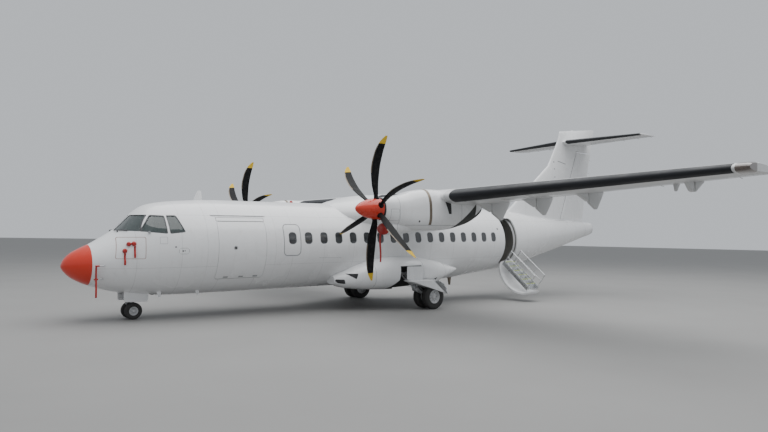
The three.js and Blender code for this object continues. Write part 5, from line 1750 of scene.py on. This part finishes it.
for name, side in BOTH_SIDES.items():
    out = on_side(side)
    axle = out(*MAIN_AXLE)
    knee, top = out(9.99, 2.02, 0.64), out(9.93, 1.56, 1.15)
    shock_top, shock_foot = out(10.08, 1.60, 1.14), out(10.16, 2.035, 0.56)
    reach = Vector((0, 0.062, 0))
    y0, y1 = sorted((side * 1.42, side * 1.68))
    parts = [
        rod(top, knee, 0.062, 24),
        rod(between(top, knee, 0.08), between(top, knee, 0.2), 0.075, 24),
        rod(between(top, knee, 0.82), knee, 0.078, 24),
        rod(knee, axle, 0.052, 20),
        rod(knee - Vector((0, 0.085, 0)), knee + Vector((0, 0.085, 0)), 0.07, 24),
        rod(shock_top, between(shock_top, shock_foot, 0.58), 0.045, 24),
        rod(between(shock_top, shock_foot, 0.50), between(shock_top, shock_foot, 0.58), 0.053, 24),
        rod(out(9.70, 1.56, 1.13), knee, 0.028, 14),
        softened(block(9.64, 10.28, y0, y1, 1.09, 1.166), 0.012),
        rod(axle - reach, axle + reach, 0.082, 28),
        rod(between(knee, axle, 0.55) + Vector((0, 0, 0.05)), axle + Vector((-0.03, 0, 0.11)), 0.018),
        rod(out(9.93, 1.66, 1.09), between(knee, axle, 0.4) + Vector((0, 0, 0.06)), 0.009, 10),
        rod(out(9.97, 1.66, 1.09), between(knee, axle, 0.7) + Vector((0, 0, 0.06)), 0.009, 10),
    ]
    node = f"main_leg_{name}"
    piece(f"main_strut_{name}", gather(*parts), gear_grey, stands_for=node, space=GROUND)
    piston = rod(between(shock_top, shock_foot, 0.55), shock_foot, 0.030, 24)
    piece(f"shock_piston_{name}", piston, chrome, space=GROUND)

# %% [markdown]
# One door is a flat plate and the other a quarter of a drum about the axle, with a lip along its outer
# edge. Ribs stiffen them and stays hold them to the leg.

# %% Main gear doors
ARC = [8, 20, 32, 44, 56, 68, 80, 88, 95]
DRUM_END = [(9.60, 0.93), (9.60, 0.91)]
FLAT_DOOR = [(9.64, 0.96), (10.29, 0.86), (10.33, 1.38), (9.64, 1.38)]
RIBS_AT = (9.74, 9.96, 10.18)


def arc_about(axle, radius):
    """Points at one distance from an axle, seen from the side."""
    angles = [math.radians(degrees) for degrees in ARC]
    return [(axle.x + radius * math.cos(angle), axle.z + radius * math.sin(angle)) for angle in angles]


drum_outer, drum_inner, lip_inner = (arc_about(MAIN_AXLE, radius) for radius in (0.565, 0.545, 0.505))
for name, side in BOTH_SIDES.items():
    out = on_side(side)
    curved = side_prism(drum_outer + DRUM_END + drum_inner[::-1], side * 1.895, side * 2.40)
    lip = side_prism(drum_outer + lip_inner[::-1], side * 2.386, side * 2.40)
    flat = side_prism(FLAT_DOOR, side * 2.012, side * 2.034, 0.04)
    ribs = [side_prism(box_of(x, x + 0.018, 0.93, 1.36), side * 1.99, side * 2.013) for x in RIBS_AT]
    stays = [
        rod(out(10.0, 1.80, 0.925), out(10.0, 2.015, 1.0), 0.018),
        rod(out(10.05, 1.96, 0.70), out(10.12, 2.06, 0.92), 0.020),
        rod(out(10.62, 2.15, 0.47), out(10.60, 2.15, 0.945), 0.014),
    ]
    doors = gather(softened(curved, 0.006), lip, softened(flat, 0.005), *ribs, *stays)
    node = f"main_gear_door_{name}"
    piece(f"gear_doors_{name}", doors, fairing_white, stands_for=node, space=GROUND)

# %% [markdown]
# ## Nose gear
# The nose leg stands in a narrow bay with a thin door on each side. Its lower half turns for steering
# and carries two small wheels, and a pair of hinged links keeps the wheels in line with the fork.

# %% Nose gear
COLLAR = 0.60
BAY_ROOF = AXIS_HEIGHT + NOSE_DOWN * NOSE_AXLE.x - 0.72
leg_x = NOSE_AXLE.x
leg_long = BAY_ROOF - COLLAR - 0.012
leg_profile = [(0, 0), (0, 0.058), (0.05, 0.066), (0.08, 0.062), (leg_long, 0.062), (leg_long, 0)]
upper = gather(
    turned(leg_profile, 32, (leg_x, 0, COLLAR + 0.01), (0, 0, 1)),
    rod((leg_x, 0, 0.76), (1.46, 0, BAY_ROOF - 0.06), 0.030, 20),
    rod((leg_x - 0.02, -0.16, COLLAR + 0.10), (leg_x - 0.02, 0.16, COLLAR + 0.10), 0.034, 20),
    rod((leg_x + 0.05, 0.045, COLLAR + 0.05), (leg_x + 0.05, 0.045, BAY_ROOF - 0.05), 0.008, 10),
)
piece("nose_strut", upper, gear_grey, stands_for="nose_leg", space=GROUND)
lower = gather(
    rod((leg_x, 0, NOSE_AXLE.z), (leg_x, 0, COLLAR), 0.040, 28),
    turned([(0, 0), (0, 0.07), (0.07, 0.07), (0.07, 0)], 32, (leg_x, 0, COLLAR - 0.07), (0, 0, 1)),
    rod((leg_x, -0.05, NOSE_AXLE.z), (leg_x, 0.05, NOSE_AXLE.z), 0.055, 28),
    rod((leg_x - 0.06, 0, COLLAR - 0.05), (leg_x - 0.14, 0, 0.40), 0.014, 12),
    rod((leg_x - 0.14, 0, 0.40), (leg_x - 0.04, 0, NOSE_AXLE.z + 0.04), 0.014, 12),
    rod((leg_x - 0.14, -0.03, 0.40), (leg_x - 0.14, 0.03, 0.40), 0.018, 16),
)
piece("nose_fork_links", lower, gear_grey, "nose_fork", "nose_fork", GROUND)
NOSE_DOOR = [(1.47, 0.48), (2.08, 0.47), (2.10, 0.80), (1.46, 0.80)]
for name, side in BOTH_SIDES.items():
    panel = softened(side_prism(NOSE_DOOR, side * 0.310, side * 0.328, 0.05, 5), 0.004)
    ribs = [box_of(1.50, 2.06, z, z + 0.014) for z in (0.53, 0.64, 0.74)]
    doors = gather(panel, *[side_prism(rib, side * 0.300, side * 0.311) for rib in ribs])
    node = f"nose_gear_door_{name}"
    piece(f"nose_door_{name}", doors, door_white, stands_for=node, space=GROUND)

LAMP_PROFILE = [(0, 0), (0, 0.03), (-0.04, 0.06), (-0.055, 0.064), (-0.055, 0.055), (-0.05, 0)]
taxi_lamp = turned(LAMP_PROFILE, 32, Vector((leg_x - 0.10, 0, 0.70)))
piece("taxi_lamp", taxi_lamp, alloy_grey, space=GROUND)

# %% [markdown]
# ## Airstair
# The entry door is also the stair: it is hinged at the sill, and its inner side carries six treads,
# two stringers and folding handrails. All of it is drawn in the door's shut place and then turned open
# about the sill, as the real door is.

# %% Airstair
STAIR_OPEN = math.radians(128)
AIRSTAIR_SKIN = box_of(ENTRY.first, ENTRY.last, -0.790, ENTRY.head)


def hull_half(section, height):
    """How far out the skin is at one height of a section."""
    rise = height - section.widest
    reach = section.top - section.widest if rise > 0 else section.widest - section.bottom
    return section.half * math.sqrt(1 - (rise / reach) ** 2)


sill_half = hull_half(eased(HULL, ENTRY.first), ENTRY.sill)
stair_hinge = Vector((ENTRY.first, -sill_half - 0.012, -0.81))
turn = Matrix.Rotation(STAIR_OPEN, 4, "X")
to_open = Matrix.Translation(stair_hinge) @ turn @ Matrix.Translation(-stair_hinge)
AIRSTAIR = AIRFRAME @ to_open

shell = skin_patch(side_prism(AIRSTAIR_SKIN, -0.3, -OUTSIDE, ENTRY.corner, 6), 14.95, 15.9, 0.0, 0.08)
shell = softened(shell, 0.006)
piece("airstair_shell", shell, door_white, "airstair", "airstair_door", AIRSTAIR)

# %% [markdown]
# The treads lie level when the stair is down, so each is turned back by the angle that the door opens by.
# A folded rail is a frame of bar on each side, and a green strip marks each tread's edge.

# %% Treads and rails
bright_steel = Finish("bright_steel", (0.56, 0.57, 0.58), 0.25, 0.9, slot="gear_metal")
smudge = bright_steel.wander((0.36, 0.37, 0.38), (0.74, 0.75, 0.76), 20, 5, 0.6)
bright_steel.set("Roughness", bright_steel.ramp(smudge, 0.3, 0.7, 0.18, 0.42))
edge_green = Finish("edge_green", (0.42, 0.52, 0.10), 0.5)
edge_green.wander((0.30, 0.38, 0.08), (0.50, 0.60, 0.15), 26, 5, 0.6)

STEPS = 6
step_rise = (ENTRY.head - ENTRY.sill) / (STEPS + 1)
chord = stair_hinge.y + 0.175
treads, edges = [], []
for n in range(STEPS):
    at = Vector((15.425, chord, ENTRY.sill + step_rise * (n + 1)))
    place = Matrix.Translation(at) @ Matrix.Rotation(-(math.pi - STAIR_OPEN), 4, "X")
    tread = softened(block(-0.295, 0.295, -0.12, 0.12, -0.015, 0.015), 0.005)
    strip = softened(block(-0.28, 0.28, 0.085, 0.112, -0.0165, 0.0165), 0.001, 1)
    treads.append(moved(tread, place))
    edges.append(moved(strip, place))
for x in (15.135, 15.695):
    stringer = block(x, x + 0.02, chord - 0.09, chord + 0.09, -0.682, 0.83)
    treads.append(softened(stringer, 0.005))
for x in (15.145, 15.705):
    foot, head = Vector((x, chord + 0.04, -0.642)), Vector((x, chord + 0.04, 0.79))
    reach = Vector((0, 0.56, 0))
    treads.append(pipe([foot, foot + reach, head + reach, head, foot], 0.014, 16))
    for share in (0.34, 0.67):
        post = between(foot, head, share)
        treads.append(rod(post, post + reach, 0.010, 12))
    treads.append(rod(foot + reach * 0.5, head + reach * 0.5, 0.010, 12))
piece("airstair_treads", gather(*treads), bright_steel, "airstair", "airstair_steps", AIRSTAIR)
piece("airstair_edge_strips", gather(*edges), edge_green, "airstair", space=AIRSTAIR)

# %% [markdown]
# ## Small fittings
# Access panels, ports and seams break up an airliner's skin. Each is placed by its station and height.
# A seam is what lies between two nested outlines.

# %% Panel seams and ports
TINY = 0.0012


def on_hull(x, w, side=-1, lift=0.0):
    """A point on the skin at one station and height."""
    return Vector((x, side * (hull_half(eased(HULL, x), w) + lift), w))


def seam(outer, inner, side=-1, radius=0.03, lift=TINY):
    """The thin frame between two outlines seen from the side, following the skin."""
    ring = combine(
        side_prism(outer, side * 0.02, side * 2.2, radius),
        side_prism(inner, side * 0.01, side * 2.3, radius * 0.8),
    )
    first, last = min(a for a, b in outer) - 0.1, max(a for a, b in outer) + 0.1
    return skin_patch(ring, first, last, lift, 0.006, step=0.1)


def spot(x, w, radius, side=-1, lift=TINY):
    """A round patch on the skin."""
    square = box_of(x - radius, x + radius, w - radius, w + radius)
    return side_patch(square, lift, 0.006, radius * 0.96, side)


sealant = Finish("brown_sealant", (0.30, 0.15, 0.11), 0.6)
sealant.wander((0.22, 0.12, 0.09), (0.38, 0.20, 0.15), 25, 4)

NOSE_PANEL = [(1.155, 0.276), (1.784, 0.278), (1.766, -0.281), (1.08, -0.273)]
PORTS = [(2.65, -0.089, 0.022), (2.70, -0.085, 0.014)]
VENTS = [(2.309, 0.20, 0.02), (2.471, 0.018, 0.02), (14.688, 0.532, 0.035)]
PORT_PLATE = (box_of(2.55, 2.81, -0.17, -0.01), box_of(2.556, 2.804, -0.164, -0.016))
SMALL_PANEL = (box_of(2.10, 2.28, 0.10, 0.28), box_of(2.106, 2.274, 0.106, 0.274))
SKIN_LINES = [
    [(6.758, -0.355), (7.555, -0.375), (7.555, -0.381), (6.758, -0.361)],
    box_of(19.44, 20.30, 0.930, 0.945),
    box_of(21.72, 21.732, 0.0, 1.0),
]
for name, side in BOTH_SIDES.items():
    piece(f"nose_panel_seam_{name}", seam(NOSE_PANEL, grown(NOSE_PANEL, -0.012), side, 0.04), sealant)
    plate = seam(*PORT_PLATE, side, 0.07)
    holes = [spot(*hole, side) for hole in PORTS + VENTS]
    piece(f"skin_ports_{name}", gather(*holes, plate), dark_gap)
    square = seam(*SMALL_PANEL, side, 0.02)
    lines = [side_patch(corners, TINY, 0.006, 0, side) for corners in SKIN_LINES]
    piece(f"skin_lines_{name}", gather(*lines, square), seal_grey)

HINGE_FRAME = (box_of(3.585, 5.005, 0.705, 0.812), box_of(3.593, 4.997, 0.713, 0.804))
piece("baggage_hinge_seam", seam(*HINGE_FRAME, -1, 0.012, 0.005), seal_grey)
gauge_ring = combine(
    side_prism(box_of(4.018, 4.128, -0.08, 0.03), -0.02, -2.2, 0.053, 6),
    side_prism(box_of(4.030, 4.116, -0.068, 0.018), -0.01, -2.3, 0.041, 6),
)
gauge_ring = skin_patch(gauge_ring, 3.9, 4.3, TINY, 0.006, step=0.1)
piece("baggage_gauge_ring", gauge_ring, seal_grey, "cargo_door")

# %% [markdown]
# Aerials are thin blades with softened edges, a mast drains water below the cabin, and a red flashing
# beacon under a small dome sits on the roof and another under the belly.

# %% Aerials and beacons
blade_aerial = side_prism([(3.33, 1.24), (3.64, 1.24), (3.60, 1.59), (3.50, 1.59)], -0.012, 0.012)
cap_aerial = side_prism([(21.0, 4.90), (21.16, 4.90), (21.13, 5.10), (21.06, 5.10)], -0.008, 0.008)
belly_aerials = [
    side_prism([(x - 0.07, -1.13), (x + 0.07, -1.13), (x + 0.05, w), (x - 0.01, w)], -y - 0.01, -y + 0.01)
    for x, y, w in ((2.262, 0.553, -1.33), (3.292, 0.572, -1.32))
]
aerials = [softened(shape, 0.004) for shape in (blade_aerial, cap_aerial, *belly_aerials)]
piece("blade_aerials", gather(*aerials), door_white)
mast = side_prism([(13.27, -1.25), (13.45, -1.25), (13.40, -1.60), (13.34, -1.60)], -0.03, 0.03)
piece("drain_mast", softened(mast, 0.01), bronze_strip)
beacon_red = Finish("beacon_red", (0.45, 0.02, 0.015), 0.08, Coat_Weight=1.0)
beacon_red.wander((0.35, 0.012, 0.01), (0.55, 0.03, 0.02), 30, 2)
BEACON_DOME = [(0.0, 0.0), (0.0, 0.055), (0.035, 0.052), (0.06, 0.036), (0.072, 0.0)]
beacons = [
    turned(BEACON_DOME, 32, (6.527, 0, 1.33), (0, 0, 1)),
    turned(BEACON_DOME, 32, (8.4, 0, -1.33), (0, 0, -1)),
]
piece("beacons", gather(*beacons), beacon_red)

# %% [markdown]
# Probes on the nose feel the speed and the slope of the air, and wear padded red covers on the ground.
# The wipers rest on the skin just below the windshield, at points that are searched for on the nose.

# %% Probes, covers and wipers


def on_nose(y, w, lift=0.02):
    """A point just ahead of the windshield, found by halving the range of stations that it may be in."""
    low, high = 0.7, 2.3
    for _ in range(30):
        x = (low + high) / 2
        section = eased(HULL, x)
        rise = (w - section.widest) / (section.top - section.widest)
        covered = rise < 1 and section.half * math.sqrt(1 - rise**2) > abs(y)
        low, high = (low, x) if covered else (x, high)
    return Vector((high - lift, y, w + lift * 0.7))


PROBES_AT = ((0.86, -0.43), (0.86, -0.77))
VANES_AT = ((1.302, -0.075), (1.40, 0.095), (1.51, 0.105))
VANE_DOME = [(0, 0), (0, 0.062), (0.05, 0.055), (0.085, 0.035), (0.09, 0)]
WIPER_BLADE = ((0.20, 0.438), (0.34, 0.444), (0.50, 0.446), (0.66, 0.436))
WIPER_ARM = ((0.40, 0.40, 0.0), (0.40, 0.42, 0.03), (0.32, 0.442, 0.02))
probes, covers, wipers = [], [], []
for side in BOTH_SIDES.values():
    for x, w in PROBES_AT:
        foot = on_hull(x, w, side, -0.01)
        knee = foot + Vector((-0.03, side * 0.075, -0.01))
        tip = knee + Vector((-0.17, 0, 0))
        probes.append(pipe([foot, knee, tip], 0.013, 14))
        covers.append(pipe([between(knee, tip, 0.6), tip + Vector((-0.03, 0, 0))], 0.02, 14))
    for x, w in VANES_AT:
        covers.append(turned(VANE_DOME, 24, on_hull(x, w, side, -0.012), (-0.2, side, 0.05)))
    probes.append(rod(on_hull(1.866, 0.40, side, -0.02), on_hull(1.866, 0.40, side, 0.05), 0.03, 20))
    wiper_blade = [on_nose(side * y, w) for y, w in WIPER_BLADE]
    wiper_arm = [on_nose(side * y, w, lift) for y, w, lift in WIPER_ARM]
    wipers += [pipe(wiper_blade, 0.011, 10), pipe(wiper_arm, 0.014, 10)]
piece("air_data_probes", gather(*probes), alloy_grey)
cover_piece = piece("probe_covers", gather(*covers), red_vinyl)
piece("windshield_wipers", gather(*wipers), seal_rubber)

# %% [markdown]
# ## Streamers
# Each cover has a red ribbon that hangs from it, so that nobody forgets to take it off before a flight.
# A ribbon is a grid that is narrowed to its width, twisted and bent a little on its way down.

# %% Streamers
RIBBON_TURN = -0.65
RIBBON_SWAY = 0.015


def streamer(name, top, long, wide):
    """A hanging ribbon: a thin grid given its thickness by a modifier."""
    shape = bmesh.new()
    bmesh.ops.create_grid(shape, x_segments=2, y_segments=28, size=0.5)
    for v in shape.verts:
        down = 0.5 - v.co.y
        angle = RIBBON_TURN + 0.5 * down
        aside = Vector((math.cos(angle), math.sin(angle), 0)) * v.co.x * wide
        v.co = Vector(top) + aside + Vector((0, RIBBON_SWAY * math.sin(6 * down), -long * down))
    ribbon = piece(name, shape, red_vinyl)
    thick = ribbon.modifiers.new("thick", "SOLIDIFY")
    thick.thickness = 0.002


streamer("pitot_streamer", (0.66, -0.79, -0.45), 0.78, 0.045)
streamer("vane_streamer_front", (1.28, -1.01, -0.13), 0.30, 0.05)
streamer("vane_streamer_rear", (1.50, -1.08, 0.05), 0.30, 0.05)
for name, side in BOTH_SIDES.items():
    top = (7.022, side * PROPELLER_OUT, 0.37)
    streamer(f"plug_streamer_{name}", top, 0.76, 0.05)

# %% [markdown]
# ## Lamps, vents and wicks
# Each wing tip's front corner is a lamp under a dark, glossy lens. The fin has a row of vents, and thin
# wicks trail from the moving surfaces to let static charge leave them.

# %% Tip lamps, fin vents and wicks
tip_lens = Finish("tip_lens", (0.09, 0.07, 0.06), 0.1, slot="window_glass", Coat_Weight=1.0)
tip_lens.set("Coat Roughness", 0.04)
tip_lens.wander((0.05, 0.042, 0.036), (0.15, 0.11, 0.09), 16, 3)
for name, side in BOTH_SIDES.items():
    nose_of_tip = foil_body(wing, side, [(12.02, 1.0), *TIP_SHARES[1:-1], (12.289, 0.69)], 0.003)
    front = block(9.3, 9.80, *sorted((side * 12.0, side * 12.4)), 0, 3)
    piece(f"tip_lens_{name}", combine(nose_of_tip, front, "INTERSECT"), tip_lens)


def fin_patch(tool):
    """A thin sheet on both sides of the fin where a tool meets it."""
    shells = []
    for squeeze in (1.015, 0.95):
        shape = bmesh.new()
        loops = [fin_loop(shape, w, squeeze) for w in (0.82, 1.6, 2.58, 3.36, 4.4)]
        shells.append(skin_loops(shape, loops))
    return combine(combine(shells[0], tool, "INTERSECT"), shells[1])


GAP_LINE = 0.022
VENTS_AT = (3.53, 3.22, 2.86)
holes = [side_prism(box_of(19.62, 19.68, w - 0.03, w + 0.03), -0.3, 0.3, 0.02) for w in VENTS_AT]
slot = side_prism([(19.89, 3.60), (20.43, 3.50), (20.43, 3.47), (19.89, 3.57)], -0.3, 0.3)
low, high = ((rudder_room_start(w), w) for w in RUDDER_ROOM)
gap_corners = [(low[0] - GAP_LINE, low[1]), low, high, (high[0] - GAP_LINE, high[1])]
gap = side_prism(gap_corners, -0.3, 0.3)
piece("fin_vents", gather(*[fin_patch(tool) for tool in (*holes, slot, gap)]), seal_grey)


def wicks(points):
    """A thin wick trailing aft from each point."""
    root, end = Vector((-0.02, 0, 0)), Vector((0.13, 0, -0.02))
    return gather(*[rod(at + root, at + end, 0.004, 8) for at in points])


def trail_of(surface, side, out):
    """The rear edge of a wing at one distance out."""
    return on_foil(surface, row_at(surface, out), side, 1.0, 0)


for name, side in BOTH_SIDES.items():
    tips = [trail_of(wing, side, out) for out in (9.7, 10.6, 11.5)]
    piece(f"aileron_wicks_{name}", wicks(tips), dark_gap, f"aileron_{name}")
    tips = [trail_of(tailplane, side, out) for out in (2.0, 2.7, 3.3)]
    piece(f"elevator_wicks_{name}", wicks(tips), dark_gap, f"elevator_{name}")
tips = [Vector((fin_at(w).trail, 0, w)) for w in (2.6, 3.2, 3.8)]
piece("rudder_wicks", wicks(tips), dark_gap, "rudder")
